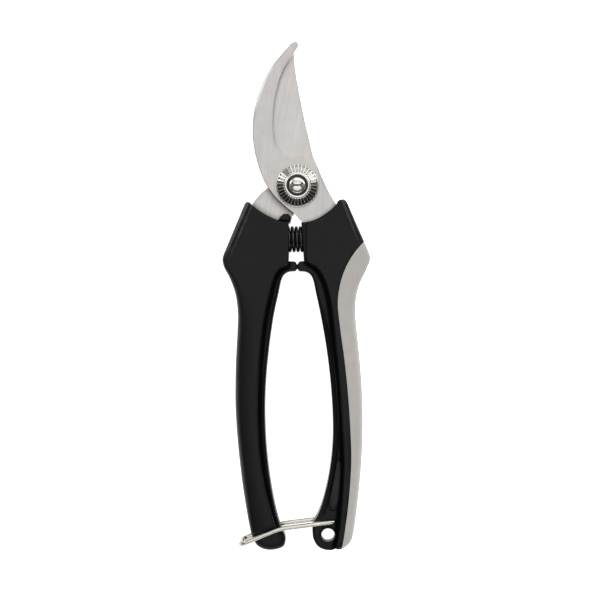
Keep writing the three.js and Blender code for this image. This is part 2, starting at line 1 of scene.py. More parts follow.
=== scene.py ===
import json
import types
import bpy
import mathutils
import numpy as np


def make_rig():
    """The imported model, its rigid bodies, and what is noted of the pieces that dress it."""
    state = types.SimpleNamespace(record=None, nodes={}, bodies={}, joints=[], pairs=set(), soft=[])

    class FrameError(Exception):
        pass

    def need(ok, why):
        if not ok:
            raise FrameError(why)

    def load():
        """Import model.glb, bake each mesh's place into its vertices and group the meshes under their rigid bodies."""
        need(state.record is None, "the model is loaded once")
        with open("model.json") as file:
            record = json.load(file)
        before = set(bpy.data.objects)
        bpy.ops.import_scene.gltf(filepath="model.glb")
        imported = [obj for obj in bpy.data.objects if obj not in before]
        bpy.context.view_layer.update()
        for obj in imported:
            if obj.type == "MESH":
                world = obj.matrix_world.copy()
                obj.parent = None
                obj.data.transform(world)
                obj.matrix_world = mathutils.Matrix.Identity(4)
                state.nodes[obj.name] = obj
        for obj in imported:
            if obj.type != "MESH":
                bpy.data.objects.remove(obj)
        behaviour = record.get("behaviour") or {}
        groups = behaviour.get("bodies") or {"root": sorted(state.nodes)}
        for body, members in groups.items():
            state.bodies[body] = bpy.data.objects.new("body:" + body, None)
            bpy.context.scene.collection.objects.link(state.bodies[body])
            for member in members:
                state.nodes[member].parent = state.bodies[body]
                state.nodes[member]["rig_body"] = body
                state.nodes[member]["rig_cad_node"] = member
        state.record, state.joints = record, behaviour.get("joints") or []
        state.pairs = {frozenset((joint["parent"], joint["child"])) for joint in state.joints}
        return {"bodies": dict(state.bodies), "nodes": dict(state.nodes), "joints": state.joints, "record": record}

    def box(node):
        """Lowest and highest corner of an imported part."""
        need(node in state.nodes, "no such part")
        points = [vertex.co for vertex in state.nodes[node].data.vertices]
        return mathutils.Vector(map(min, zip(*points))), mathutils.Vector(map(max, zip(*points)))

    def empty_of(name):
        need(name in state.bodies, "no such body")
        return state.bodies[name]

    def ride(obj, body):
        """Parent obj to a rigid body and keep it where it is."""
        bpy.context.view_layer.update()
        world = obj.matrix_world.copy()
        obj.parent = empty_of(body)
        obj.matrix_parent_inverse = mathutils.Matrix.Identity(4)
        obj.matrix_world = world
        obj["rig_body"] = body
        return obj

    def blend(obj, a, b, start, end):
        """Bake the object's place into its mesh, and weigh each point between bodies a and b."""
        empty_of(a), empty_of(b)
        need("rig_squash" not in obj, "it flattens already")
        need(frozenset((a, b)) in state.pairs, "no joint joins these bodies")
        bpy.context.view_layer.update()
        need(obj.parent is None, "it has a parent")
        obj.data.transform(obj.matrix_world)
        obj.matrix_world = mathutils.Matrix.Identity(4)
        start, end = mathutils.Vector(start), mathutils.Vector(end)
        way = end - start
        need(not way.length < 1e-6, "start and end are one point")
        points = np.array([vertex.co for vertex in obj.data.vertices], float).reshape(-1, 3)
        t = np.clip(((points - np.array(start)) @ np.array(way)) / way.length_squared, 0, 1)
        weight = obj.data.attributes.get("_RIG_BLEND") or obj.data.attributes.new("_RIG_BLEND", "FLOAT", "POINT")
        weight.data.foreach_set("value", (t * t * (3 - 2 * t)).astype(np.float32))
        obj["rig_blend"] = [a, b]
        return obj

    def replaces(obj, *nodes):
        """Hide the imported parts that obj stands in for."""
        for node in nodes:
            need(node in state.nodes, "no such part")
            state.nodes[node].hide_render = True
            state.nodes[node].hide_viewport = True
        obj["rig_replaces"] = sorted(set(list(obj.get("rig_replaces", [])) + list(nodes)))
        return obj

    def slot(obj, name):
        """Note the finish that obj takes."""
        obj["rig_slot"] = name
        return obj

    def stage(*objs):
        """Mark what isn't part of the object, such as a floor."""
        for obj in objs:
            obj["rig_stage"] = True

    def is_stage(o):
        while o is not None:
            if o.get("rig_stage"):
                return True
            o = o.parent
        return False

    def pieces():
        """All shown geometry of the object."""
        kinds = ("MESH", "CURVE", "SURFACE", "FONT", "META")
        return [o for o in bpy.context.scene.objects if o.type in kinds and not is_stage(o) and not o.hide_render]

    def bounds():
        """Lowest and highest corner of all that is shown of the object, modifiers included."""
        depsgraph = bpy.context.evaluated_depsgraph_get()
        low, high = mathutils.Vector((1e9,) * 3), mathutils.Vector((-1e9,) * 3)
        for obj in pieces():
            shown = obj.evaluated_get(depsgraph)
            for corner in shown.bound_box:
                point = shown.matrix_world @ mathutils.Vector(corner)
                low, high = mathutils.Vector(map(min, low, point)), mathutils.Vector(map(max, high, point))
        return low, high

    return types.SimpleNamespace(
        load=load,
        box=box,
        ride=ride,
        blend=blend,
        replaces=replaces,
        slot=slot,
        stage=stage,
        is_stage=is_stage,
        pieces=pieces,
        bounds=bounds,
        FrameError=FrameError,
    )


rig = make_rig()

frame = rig.load()

# Bypass pruning shears, closed and locked. Outlines below are millimetres in the frame's own axes:
# the pivot axis is Z, the blades point along +Y, the rear of the handles is the plane z = 0.

import json
import math

import bmesh
import bpy
import numpy as np
from mathutils import Vector
from mathutils.geometry import delaunay_2d_cdt
from mathutils.kdtree import KDTree
from numpy.linalg import norm

CAD_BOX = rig.bounds()
MM = 0.001


def heights(node):
    """Lowest and highest z of a CAD node, in mm."""
    low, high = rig.box(node)
    return low.z / MM, high.z / MM


def middle(node):
    """Middle of a CAD node's box, in mm."""
    low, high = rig.box(node)
    return (low + high) / 2 / MM


# ---- sizes from the frame, in mm

REAR, FRONT = heights("left_cover")
CORE_LOW, CORE_HIGH = heights("left_core")
HOOK_LOW, HOOK_HIGH = heights("counter_blade")
CUTTER_LOW, CUTTER_HIGH = heights("cutting_blade")
DISC_LOW, DISC_HIGH = heights("pivot_disc")
BOLT_LOW, BOLT_HIGH = heights("pivot_bolt")
BUMPER_HIGH = heights("stop_bumper")[1]
RING_LOW, RING_HIGH = heights("lock_ring")
DISC_R = (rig.box("pivot_disc")[1].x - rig.box("pivot_disc")[0].x) / 2 / MM
SPRING_FROM, SPRING_TO = (corner.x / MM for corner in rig.box("return_spring"))
SPRING_AXIS = middle("return_spring")
BAIL_LOW, BAIL_HIGH = heights("lock_bail")

STEP = 0.7  # longest stretch of an outline
GRID = 1.5  # spacing of the points inside an outline
ROWS = 0.866  # distance between rows of those points, as a share of their spacing
APART = 0.45  # share of the spacing that they keep from other points
CLEAR = 0.012  # guides stay this far inside the outlines
SHARP = math.radians(26)  # edges bent more than this stay crisp
RUBBED = 0.3  # polish of the rounded edges


# ---- outlines

def curved(*points):
    """Points along a smooth curve through the given ones."""
    given = np.array(points, float)
    padded = np.vstack([given[:1], given, given[-1:]])
    made = []
    for before, start, end, after in zip(padded, padded[1:], padded[2:], padded[3:]):
        count = max(2, math.ceil(norm(end - start) / STEP))
        t = (np.arange(count) / count)[:, None]
        leave, arrive = (end - before) / 2, (after - start) / 2
        cubic = 2 * start - 2 * end + leave + arrive
        square = 3 * end - 3 * start - 2 * leave - arrive
        made.append(cubic * t**3 + square * t**2 + leave * t + start)
    return np.vstack([*made, given[-1:]])


def straight(*points):
    """Points along straight runs."""
    given = np.array(points, float)
    made = []
    for start, end in zip(given, given[1:]):
        count = max(1, math.ceil(norm(end - start) / STEP))
        made.append(start + (end - start) * (np.arange(count) / count)[:, None])
    return np.vstack([*made, given[-1:]])


def circle(centre, radius, count=48):
    turn = np.arange(count) * 2 * math.pi / count
    return np.column_stack([centre[0] + radius * np.cos(turn), centre[1] + radius * np.sin(turn)])


def joined(*edges):
    """One closed loop from edges in order, without repeated points."""
    points = np.vstack(edges)
    gaps = norm(points - np.roll(points, 1, axis=0), axis=1)
    return points[gaps > 1e-3]


HOOK_BACK = curved(
    (-2.3, 55.8), (-5.2, 52.6), (-10.5, 46), (-14.4, 38.3), (-16.8, 29.7), (-17.5, 21.1),
    (-16.5, 12.6), (-13.6, 3.4), (-9.9, -3), (-5.6, -7.5), (-1.6, -10.8),
)
HOOK_TANG = straight(
    (-1.1, -10.8), (1.5, -13.7), (3, -14.4), (9.6, -14.5), (10.3, -28), (12.6, -42),
    (18.4, -42), (19, -28), (18.6, -14), (17.5, -11),
)
HOOK_HEEL = curved(
    (17.5, -11), (15.1, -7.1), (12.5, -2.6), (10.3, 2), (8.7, 5.6), (7.2, 8.3), (4.8, 10), (1.6, 10.9),
)
HOOK_JAW = curved(
    (1.6, 10.9), (-3.6, 11.3), (-6.6, 13), (-8.5, 16.4), (-9.4, 21), (-9.5, 26), (-8.6, 34.7),
    (-6.2, 43.6), (-3, 49.6), (0.5, 55),
)
HOOK_TIP = curved((0.5, 55), (-0.4, 56.5), (-2.3, 55.8))

CUTTER_BACK = curved(
    (-1.3, 53.5), (-0.9, 46.8), (0.6, 37.8), (2.4, 28.4), (4.4, 19.6), (6.3, 11.8), (8.6, 6.6),
    (9.6, 1), (8.6, -4), (5.5, -7.6), (-1.4, -10.9),
)
CUTTER_TANG = straight(
    (-2, -11.6), (-2.7, -14.5), (-10.8, -14.6), (-11.2, -28), (-13.6, -42), (-19.2, -42),
    (-20, -28), (-19, -13), (-17.6, -6.7),
)
CUTTER_SHOULDER = curved((-17.6, -6.7), (-15.9, -4.5), (-13.9, -2.3), (-11.7, -0.4), (-10.6, 2.4))
CUTTER_EDGE = curved(
    (-10.6, 2.4), (-11.2, 9.5), (-12.2, 18), (-12.2, 26.6), (-10.6, 35.4), (-7.4, 44.4), (-1.3, 53.5),
)

LEFT_CORNER = curved((-20.65, -7.6), (-20.15, -6.75), (-19.3, -6.4), (-18.6, -6.65), (-18.1, -7.1))
LEFT_TOP = (-15, -9.7), (-11.9, -11.6), (-8.8, -13.1), (-5.9, -14), (-3.4, -14.3)
LEFT_ARC = curved((-18.1, -7.1), *LEFT_TOP)
LEFT_FACE = straight((-3.4, -14.3), (-3.1, -21), (-3.4, -29.5))
LEFT_STOP = straight((-3.4, -29.5), (-0.9, -29.6), (-0.3, -30.3), (-0.3, -32.7), (-0.8, -33.3))
LEFT_INNER = curved(
    (-0.8, -33.3), (-3.8, -33.7), (-6, -36), (-7.5, -42.5), (-9.3, -51), (-11, -63), (-12.2, -75.5),
    (-12.6, -88), (-12.1, -101), (-10.8, -113), (-8.8, -124.5), (-6.4, -133.4),
)
LEFT_TIP = curved(
    (-6.4, -133.4), (-4.6, -137.2), (-5.2, -140.6), (-8.4, -142), (-12.2, -142.09), (-15.4, -140.7),
    (-17.1, -138.4), (-17.8, -136.4),
)
LEFT_SHOULDER = straight((-8.4, -132.7), (-17.9, -136))
LEFT_OUTER = curved(
    (-17.9, -136), (-19.4, -128.5), (-21.4, -116), (-23.1, -101), (-24.1, -86), (-24, -70), (-23.3, -56),
    (-23.2, -49), (-24.1, -42.2), (-26.3, -36), (-28.4, -32), (-29.085, -28.8), (-28.4, -26.2),
)
LEFT_HEAD_SIDE = straight((-28.4, -26.2), (-20.65, -7.6))
LEFT_STEP = curved(
    (-3.6, -31), (-7, -32.8), (-9.2, -36.6), (-11, -43.4), (-12.9, -52), (-14.4, -64), (-15.2, -77),
    (-15.4, -90), (-14.8, -103), (-13, -115.4), (-10.8, -125), (-8.4, -132.7),
)

RIGHT_ARC = curved((3.4, -14.3), (6, -13.7), (8.8, -12.5), (11.6, -10.6), (13.6, -9), (15.2, -7.3))
RIGHT_CORNER = curved((15.2, -7.3), (16.2, -5.8), (18.4, -5.6), (19.7, -7.4))
RIGHT_HEAD_SIDE = straight((19.7, -7.4), (26, -21.8))
RIGHT_FACE = straight((2.6, -29.4), (1.6, -14.3))
RIGHT_STOP = straight((0.8, -33.3), (0.3, -32.7), (0.3, -30.3), (0.9, -29.6), (2.6, -29.4))
RIGHT_INNER = curved(
    (6.2, -131.4), (8.6, -127.2), (11, -119.6), (12.9, -110), (13.9, -100), (13.9, -89), (13, -76),
    (11.4, -63), (9.3, -51), (7.5, -42.5), (6, -36), (3.8, -33.7), (0.8, -33.3),
)
RIGHT_LOBE = curved(
    (15, -142.19), (11.6, -142.19), (8.2, -140.8), (6.3, -137.8), (5.9, -134.4), (6.2, -131.4),
)
RIGHT_OUTER = curved(
    (26, -21.8), (28, -26.6), (28.29, -29.2), (26.8, -33), (24.4, -38), (23, -43.4), (22.7, -49.4),
    (23.3, -57), (24.6, -70), (25.4, -83.5), (25.5, -97), (24.8, -111), (23.2, -126.4), (21.6, -136.8),
    (19.6, -140.2), (17.2, -141.7),
)
RIGHT_END = straight((17.2, -141.7), (15.1, -141.4))
RIGHT_STEP = curved(
    (3.8, -29.9), (7.2, -31.8), (9.8, -35.2), (11.6, -39.8), (13, -46), (14.3, -56), (15.6, -68),
    (16.8, -81.5), (17.6, -95), (18.1, -107), (17.5, -120), (16.4, -132.6), (15.1, -141.4),
)
RIGHT_HEAD_FACE = straight((3.8, -29.9), (3.4, -28.3), (3.4, -14.3))
GRIP_BOUNDARY = curved(
    (26, -21.8), (22.2, -26.2), (18.8, -32), (16.6, -38.6), (15.7, -46), (16.6, -55.4), (18.3, -68),
    (19.7, -81.6), (20.6, -95), (20.9, -108), (20, -122), (18.5, -134), (17.2, -141.7),
)
WEB_PANEL = curved(
    (16, -106), (17.1, -109), (16.9, -116), (16.2, -122.6), (15, -126.2), (13.3, -126.8),
    (12.2, -125.2), (12.6, -119.6), (13.8, -113), (15, -107.4), (16, -106),
)
HANG_HOLE = (12, -136.1)
HANG_HOLE_R = 2.6
RIVET_NODES = [f"{side}_rivet_{place}" for side in ("left", "right") for place in ("upper", "lower")]
RIVETS = [tuple(middle(node).xy) for node in RIVET_NODES]


# ---- measuring

def nearest(xy, line):
    """Distance from each point to a line, and the place on the line in stretches."""
    start, run = line[:-1], np.diff(line, axis=0)
    to = xy[:, None, :] - start[None]
    t = np.clip((to * run).sum(2) / np.maximum((run * run).sum(1), 1e-12), 0, 1)
    gap = norm(to - t[..., None] * run, axis=2)
    best = gap.argmin(1)
    row = np.arange(len(xy))
    return gap[row, best], best + t[row, best]


def closed(line):
    return np.vstack([line, line[:1]])


def within(xy, loops):
    """Whether each point is inside the first loop and outside the others."""
    x, y = xy[:, 0, None], xy[:, 1, None]
    crossings = np.zeros(len(xy), int)
    for line in loops:
        ring = closed(line)
        (x0, y0), (x1, y1) = ring[:-1].T, ring[1:].T
        spans = (y0 > y) != (y1 > y)
        rise = np.where(y1 == y0, 1e-12, y1 - y0)
        crossings += (spans & (x < (x1 - x0) * (y - y0) / rise + x0)).sum(1)
    return crossings % 2 == 1


def ease(a, b, value):
    """0 at a, 1 at b, smooth between."""
    t = np.clip((value - a) / (b - a), 0, 1)
    return t * t * (3 - 2 * t)


def beside(line, offset):
    """The line moved sideways by an offset, which may differ along it."""
    run = np.diff(line, axis=0)
    run /= np.maximum(norm(run, axis=1, keepdims=True), 1e-9)
    normal = np.column_stack([run[:, 1], -run[:, 0]])
    both = np.vstack([normal[:1], normal[1:] + normal[:-1], normal[-1:]])
    both[1:-1] /= np.maximum((both[1:-1] ** 2).sum(1, keepdims=True) / 2, 0.5)
    return line + both * np.broadcast_to(offset, len(line))[:, None]


def both_sides(line, *offsets):
    """The line moved by each offset to one side and to the other."""
    return [beside(line, side * offset) for offset in offsets for side in (1, -1)]


def level(z):
    """Height function of a flat face."""
    return lambda xy: np.full(len(xy), z)


class Rounding:
    """Rounded edge along a line: radius is one number or one for each point of the line."""

    def __init__(self, line, radius):
        self.line = line
        self.radius = np.broadcast_to(np.asarray(radius, float), len(line))

    def share(self, xy):
        """1 on the edge, 0 where the rounding ends, and the radius there."""
        gap, place = nearest(xy, self.line)
        radius = np.interp(place, np.arange(len(self.line)), self.radius)
        return np.clip(1 - gap / radius, 0, 1), radius

    def drop(self, xy):
        share, radius = self.share(xy)
        return radius * (1 - np.sqrt(1 - share**2))

    def guides(self):
        count = 2 if self.radius.max() < 0.3 else 4 if self.radius.max() < 1.1 else 6
        for i in range(1, count + 1):
            inset = self.radius * (1 - math.cos(i / count * math.pi / 2))
            yield from both_sides(self.line, inset)


def guides_of(roundings):
    return [line for rounding in roundings for line in rounding.guides()]


# ---- meshes

def triangles(loops, guides, spacing):
    """Triangulates what lies inside the loops, with the guide lines as edges."""
    points, edges = [], []
    for line in loops:
        first, count = len(points), len(line)
        points.extend(map(tuple, line))
        edges.extend((first + i, first + (i + 1) % count) for i in range(count))

    def clear_of_rims(xy, gap):
        keep = within(xy, loops)
        for line in loops:
            keep &= nearest(xy, closed(line))[0] > gap
        return keep

    for line in guides:
        keep = clear_of_rims(line, CLEAR)
        last = None
        for point, kept in zip(line, keep):
            if not kept:
                last = None
                continue
            points.append(tuple(point))
            if last is not None:
                edges.append((last, len(points) - 1))
            last = len(points) - 1

    low, high = loops[0].min(0), loops[0].max(0)
    x, y = np.meshgrid(np.arange(low[0], high[0], spacing), np.arange(low[1], high[1], spacing * ROWS))
    x[1::2] += spacing / 2
    grid = np.column_stack([x.ravel(), y.ravel()])
    grid = grid[clear_of_rims(grid, spacing * APART)]
    tree = KDTree(len(points))
    for i, (px, py) in enumerate(points):
        tree.insert((px, py, 0), i)
    tree.balance()
    points.extend(p for p in map(tuple, grid) if tree.find((p[0], p[1], 0))[2] > spacing * APART)

    flat, _, faces, *_ = delaunay_2d_cdt([Vector(p) for p in points], edges, [], 0, 1e-6, False)
    xy = np.array([tuple(p) for p in flat])
    faces = np.array(faces)
    faces = faces[within(xy[faces].mean(1), loops)]
    a, b, c = xy[faces[:, 0]], xy[faces[:, 1]], xy[faces[:, 2]]
    turned = (b[:, 0] - a[:, 0]) * (c[:, 1] - a[:, 1]) - (b[:, 1] - a[:, 1]) * (c[:, 0] - a[:, 0]) < 0
    faces[turned] = faces[turned][:, ::-1]
    return xy, faces


def placed(name, data):
    """New object in the scene."""
    made = bpy.data.objects.new(name, data)
    bpy.context.scene.collection.objects.link(made)
    return made


def mesh_object(name, vertices, faces, sharp=SHARP):
    """Object from mm vertices, with outward normals, smooth but for its sharp edges."""
    mesh = bpy.data.meshes.new(name)
    mesh.from_pydata([tuple(v * MM for v in p) for p in vertices], [], [tuple(map(int, f)) for f in faces])
    body = bmesh.new()
    body.from_mesh(mesh)
    bmesh.ops.delete(body, geom=[v for v in body.verts if not v.link_faces], context="VERTS")
    bmesh.ops.recalc_face_normals(body, faces=body.faces)
    body.to_mesh(mesh)
    body.free()
    made = placed(name, mesh)
    shade(made, sharp)
    return made


def shade(piece, sharp=SHARP):
    piece.data.shade_smooth()
    piece.data.set_sharp_from_angle(angle=sharp)


def slab(name, loops, top, bottom, guides=(), spacing=GRID):
    """Closed piece between two height functions over an outline."""
    xy, faces = triangles(loops, guides, spacing)
    count = len(xy)
    vertices = np.vstack([np.column_stack([xy, top(xy)]), np.column_stack([xy, bottom(xy)])])
    sides = {(a, b) for face in faces.tolist() for a, b in zip(face, face[1:] + face[:1])}
    walls = [(b, a, a + count, b + count) for a, b in sorted(sides) if (b, a) not in sides]
    shell = [*faces.tolist(), *(faces[:, ::-1] + count).tolist(), *walls]
    return mesh_object(name, vertices, shell)


def prism(name, line, low, high):
    return slab(name, [line], level(high), level(low), (), 6)


def turned(name, profile, count=96, centre=(0, 0), twist=None):
    """Solid of revolution about Z from (radius, z) points; twist moves its vertices."""
    turn = np.arange(count) * 2 * math.pi / count
    vertices, rows = [], []
    for radius, z in profile:
        if radius < 1e-6:
            rows.append([len(vertices)] * count)
            vertices.append((0.0, 0.0, z))
            continue
        rows.append(list(range(len(vertices), len(vertices) + count)))
        for angle in turn:
            lift = twist(radius, angle) if twist else 0
            vertices.append((radius * math.cos(angle), radius * math.sin(angle), z + lift))
    faces = []
    pairs = list(zip(rows, rows[1:]))
    if profile[0][0] > 1e-6:
        pairs.append((rows[-1], rows[0]))
    for row, after in pairs:
        for i in range(count):
            j = (i + 1) % count
            corners = [row[i], row[j], after[j], after[i]]
            face = [v for k, v in enumerate(corners) if v not in corners[:k]]
            if len(face) > 2:
                faces.append(face)
    vertices = [(x + centre[0], y + centre[1], z) for x, y, z in vertices]
    return mesh_object(name, vertices, faces)


def bar(name, radius, low, high, count, centre=(0, 0)):
    """Round bar along Z."""
    return turned(name, [(0, low), (radius, low), (radius, high), (0, high)], count, centre)


def tube(name, path, radius, sides):
    """Round wire along a path of mm points, closed at both ends."""
    path = np.array(path, float)
    tangent = np.gradient(path, axis=0)
    tangent /= norm(tangent, axis=1, keepdims=True)
    normal = np.cross(tangent[0], (0.3, 0.2, 1))
    vertices, faces = [], []
    end = len(path) - 1
    rings = [(0, 0.35), (0, 0.8), *((i, 1.0) for i in range(len(path))), (end, 0.8), (end, 0.35)]
    dome = {0: -0.5, 1: -0.35, len(rings) - 2: 0.35, len(rings) - 1: 0.5}
    for k, (i, share) in enumerate(rings):
        normal = normal - tangent[i] * normal.dot(tangent[i])
        normal /= norm(normal)
        side = np.cross(tangent[i], normal)
        centre = path[i] + tangent[i] * dome.get(k, 0) * radius * 0.6
        for s in range(sides):
            angle = 2 * math.pi * s / sides
            vertices.append(centre + radius * share * (normal * math.cos(angle) + side * math.sin(angle)))
    for k in range(len(rings) - 1):
        for s in range(sides):
            t = (s + 1) % sides
            faces.append((k * sides + s, k * sides + t, (k + 1) * sides + t, (k + 1) * sides + s))
    last = (len(rings) - 1) * sides
    faces.append(tuple(range(sides))[::-1])
    faces.append(tuple(range(last, last + sides)))
    return mesh_object(name, vertices, faces, math.radians(50))


def split_faces(piece):
    body = bmesh.new()
    body.from_mesh(piece.data)
    bmesh.ops.triangulate(body, faces=body.faces)
    body.to_mesh(piece.data)
    body.free()


def combine(piece, tool, operation):
    """Cuts the tool out of the piece, or joins it to the piece, and removes the tool."""
    split_faces(piece)
    split_faces(tool)
    modifier = piece.modifiers.new("combine", "BOOLEAN")
    modifier.operation, modifier.solver, modifier.object = operation, "EXACT", tool
    bpy.context.view_layer.update()
    ready = piece.evaluated_get(bpy.context.evaluated_depsgraph_get())
    made = bpy.data.meshes.new_from_object(ready)
    piece.modifiers.clear()
    piece.data = made
    bpy.data.objects.remove(tool)
    shade(piece)
    return piece


def cut(piece, *tools):
    for tool in tools:
        combine(piece, tool, "DIFFERENCE")
    return piece


def weld(piece, *tools):
    for tool in tools:
        combine(piece, tool, "UNION")
    return piece


def mark(piece, name, share):
    """Vertex attribute from a function of the vertices' places in mm."""
    places = np.array([v.co[:] for v in piece.data.vertices]) / MM
    attribute = piece.data.attributes.new(name, "FLOAT", "POINT")
    attribute.data.foreach_set("value", share(places).astype(np.float32))


def mark_wear_and_sheen(piece, roundings, others=()):
    """How far handling has rubbed the rounded edges, together with painted sheen from the other functions, such as lit
    facets and the web's panel floor.
    """
    def share(places):
        xy = places[:, :2]
        shares = [RUBBED * ease(0.1, 0.9, rounding.share(xy)[0]) for rounding in roundings]
        return np.maximum.reduce([*shares, *(other(xy) for other in others)])

    mark(piece, "wear", share)


# ---- materials

def add_node(tree, kind, inputs=None, **properties):
    """New shader node; each input is a value or the socket that feeds it."""
    node = tree.nodes.new("ShaderNode" + kind)
    for key, value in properties.items():
        setattr(node, key, value)
    for socket, value in (inputs or {}).items():
        if isinstance(value, bpy.types.NodeSocket):
            tree.links.new(value, node.inputs[socket])
        else:
            node.inputs[socket].default_value = value
    return node


def map_range(tree, value, start, end, low, high, **properties):
    """Turns the range from start to end into the one from low to high."""
    inputs = {"Value": value, "From Min": start, "From Max": end, "To Min": low, "To Max": high}
    return add_node(tree, "MapRange", inputs, **properties).outputs["Result"]


class Surface:
    """A node material in the making; coordinates are metres of the object itself."""

    def __init__(self, name, metallic=0.0, **sockets):
        self.material = bpy.data.materials.new(name)
        self.material.use_nodes = True
        self.tree = self.material.node_tree
        self.shader = self.tree.nodes["Principled BSDF"]
        self.shader.inputs["Metallic"].default_value = metallic
        for socket, value in sockets.items():
            self.shader.inputs[socket.replace("_", " ")].default_value = value
        self.place = self.add("TexCoord").outputs["Object"]
        self.relief = {}

    def add(self, kind, inputs=None, **properties):
        return add_node(self.tree, kind, inputs, **properties)

    def noise(self, scale, detail=3.0, rough=0.55, turn=0.0):
        """Noise whose grains are 1/scale metres across; scale is one number or three."""
        size = (scale,) * 3 if isinstance(scale, (int, float)) else scale
        place = {"Vector": self.place, "Rotation": (0, 0, math.radians(turn))}
        place = {"Vector": self.add("Mapping", place).outputs["Vector"], "Scale": size}
        grains = {"Vector": self.add("Mapping", place).outputs["Vector"], "Scale": 1.0}
        return self.add("TexNoise", {**grains, "Detail": detail, "Roughness": rough}).outputs["Fac"]

    def spread(self, value, low, high, start=0.3, end=0.7):
        return map_range(self.tree, value, start, end, low, high)

    def math(self, operation, first, second):
        return self.add("Math", {0: first, 1: second}, operation=operation).outputs["Value"]

    def mix(self, factor, first, second):
        first, second = ((*c, 1.0) if isinstance(c, tuple) else c for c in (first, second))
        return self.add("Mix", {0: factor, 6: first, 7: second}, data_type="RGBA").outputs[2]

    def marked(self, name):
        return self.add("Attribute", attribute_name=name).outputs["Fac"]

    def bump(self, height, distance, strength):
        """Adds relief of that many metres."""
        inputs = {"Strength": strength, "Distance": distance, "Height": height, **self.relief}
        self.relief = {"Normal": self.add("Bump", inputs).outputs["Normal"]}

    def done(self, colour, roughness):
        for socket, output in {"Base Color": colour, "Roughness": roughness, **self.relief}.items():
            self.tree.links.new(output, self.shader.inputs[socket])
        return self.material


def grey(value):
    return (value,) * 3


def ground_steel(name, turn, light=(0.64, 0.615, 0.595), dark=(0.50, 0.48, 0.465)):
    """Steel ground lengthwise: long fine lines, a few deeper ones, a faint cloud, and painted shade where the mesh
    marks it.
    """
    s = Surface(name, metallic=1.0)
    fine = s.noise((5200, 90, 900), 4, 0.65, turn)
    broad = s.noise((900, 28, 300), 3, 0.5, turn)
    cloud = s.noise(160, 3, 0.5)
    mixed = s.math("ADD", s.math("MULTIPLY", fine, 0.4), s.math("MULTIPLY", broad, 0.35))
    mixed = s.math("ADD", mixed, s.math("MULTIPLY", cloud, 0.25))
    colour = s.mix(s.spread(mixed, 0, 1, 0.36, 0.64), dark, light)
    # Painted shade: near-black mixed in where the mesh is marked, standing in for contact shadow beside the covers and
    # the hook.
    dirt = s.math("MULTIPLY", s.marked("dirt"), s.spread(mixed, 1.0, 0.7))
    colour = s.mix(dirt, colour, (0.13, 0.122, 0.112))
    s.bump(fine, 0.000012, 0.3)
    s.bump(broad, 0.00003, 0.22)
    return s.done(colour, s.spread(fine, 0.30, 0.46))


def polished_nickel(name):
    """Bright plating with a slight warm tint, small pits, a varying polish, and painted shade where the mesh marks it.
    """
    s = Surface(name, metallic=1.0)
    cloud = s.noise(420, 3, 0.5)
    pits = s.noise(5200, 2, 0.5)
    colour = s.mix(s.spread(cloud, 0, 1), (0.688, 0.6665, 0.6278), (0.80, 0.775, 0.73))
    # Painted shade: near-black in the nut's grooves and cup and in the bolt's slot, where the mesh is marked.
    dirt = s.math("MULTIPLY", s.marked("dirt"), s.spread(cloud, 0.82, 1.0))
    colour = s.mix(dirt, colour, (0.012, 0.010, 0.008))
    s.bump(pits, 0.000006, 0.25)
    return s.done(colour, s.spread(cloud, 0.136, 0.255))


def drawn_wire():
    """Nickel-plated wire with the faint lines of drawing along it, and painted shade on its upright flanks."""
    s = Surface("nickel_wire", metallic=1.0)
    lines = s.noise((300, 4200, 4200), 3, 0.6, 8)
    cloud = s.noise(300, 3, 0.5)
    colour = s.mix(s.spread(cloud, 0, 1), (0.64, 0.615, 0.55), (0.78, 0.755, 0.69))
    # Painted shade: the wire's upright flanks are mixed towards dark grey.
    colour = s.mix(s.marked("dull"), colour, (0.22, 0.20, 0.165))
    s.bump(lines, 0.000008, 0.3)
    return s.done(colour, s.spread(lines, 0.14, 0.26))


def plain_metal(name, light, dark, rough):
    s = Surface(name, metallic=1.0)
    cloud = s.noise(700, 4, 0.6)
    colour = s.mix(s.spread(cloud, 0, 1), dark, light)
    s.bump(s.noise(3000, 3, 0.6), 0.00001, 0.4)
    return s.done(colour, s.spread(cloud, rough, rough + 0.15))


def moulded(name, light, dark, edge, rough, grain, relief, specular):
    """Moulded plastic or rubber: fine spark-eroded grain, slow clouds of darker and lighter tone, edges rubbed lighter
    by use and a painted sheen where the mesh marks it.
    """
    s = Surface(name, Specular_IOR_Level=specular)
    cloud = s.noise(230, 4, 0.6)
    slow = s.noise(40, 2, 0.5)
    fine = s.noise(grain, 3, 0.6)
    shade_mix = s.math("ADD", s.math("MULTIPLY", cloud, 0.6), s.math("MULTIPLY", slow, 0.4))
    colour = s.mix(s.spread(shade_mix, 0, 1, 0.36, 0.64), dark, light)
    # Rubbed edges and painted sheen: marked places are mixed towards the lighter edge colour.
    polish_and_sheen = s.math("MULTIPLY", s.marked("wear"), s.spread(cloud, 0.35, 1.0))
    colour = s.mix(polish_and_sheen, colour, edge)
    s.bump(fine, relief, 0.6)
    grain_rough = s.spread(fine, rough - 0.05, rough + 0.08)
    return s.done(colour, s.math("SUBTRACT", grain_rough, s.math("MULTIPLY", polish_and_sheen, 0.1)))


def lacquered_spring():
    s = Surface("spring_black", Specular_IOR_Level=0.9)
    cloud = s.noise(900, 4, 0.6)
    colour = s.mix(s.spread(cloud, 0, 1), grey(0.004), grey(0.012))
    s.bump(s.noise(4200, 3, 0.6), 0.00001, 0.4)
    return s.done(colour, s.spread(cloud, 0.24, 0.42))


def pale_floor():
    s = Surface("pale_floor", Specular_IOR_Level=0.1, Emission_Color=(1, 1, 1, 1), Emission_Strength=1.0)
    cloud = s.noise(3, 2, 0.5)
    colour = s.mix(s.spread(cloud, 0, 1), (0.90, 0.90, 0.895), (0.93, 0.93, 0.93))
    return s.done(colour, s.spread(cloud, 0.85, 0.95))


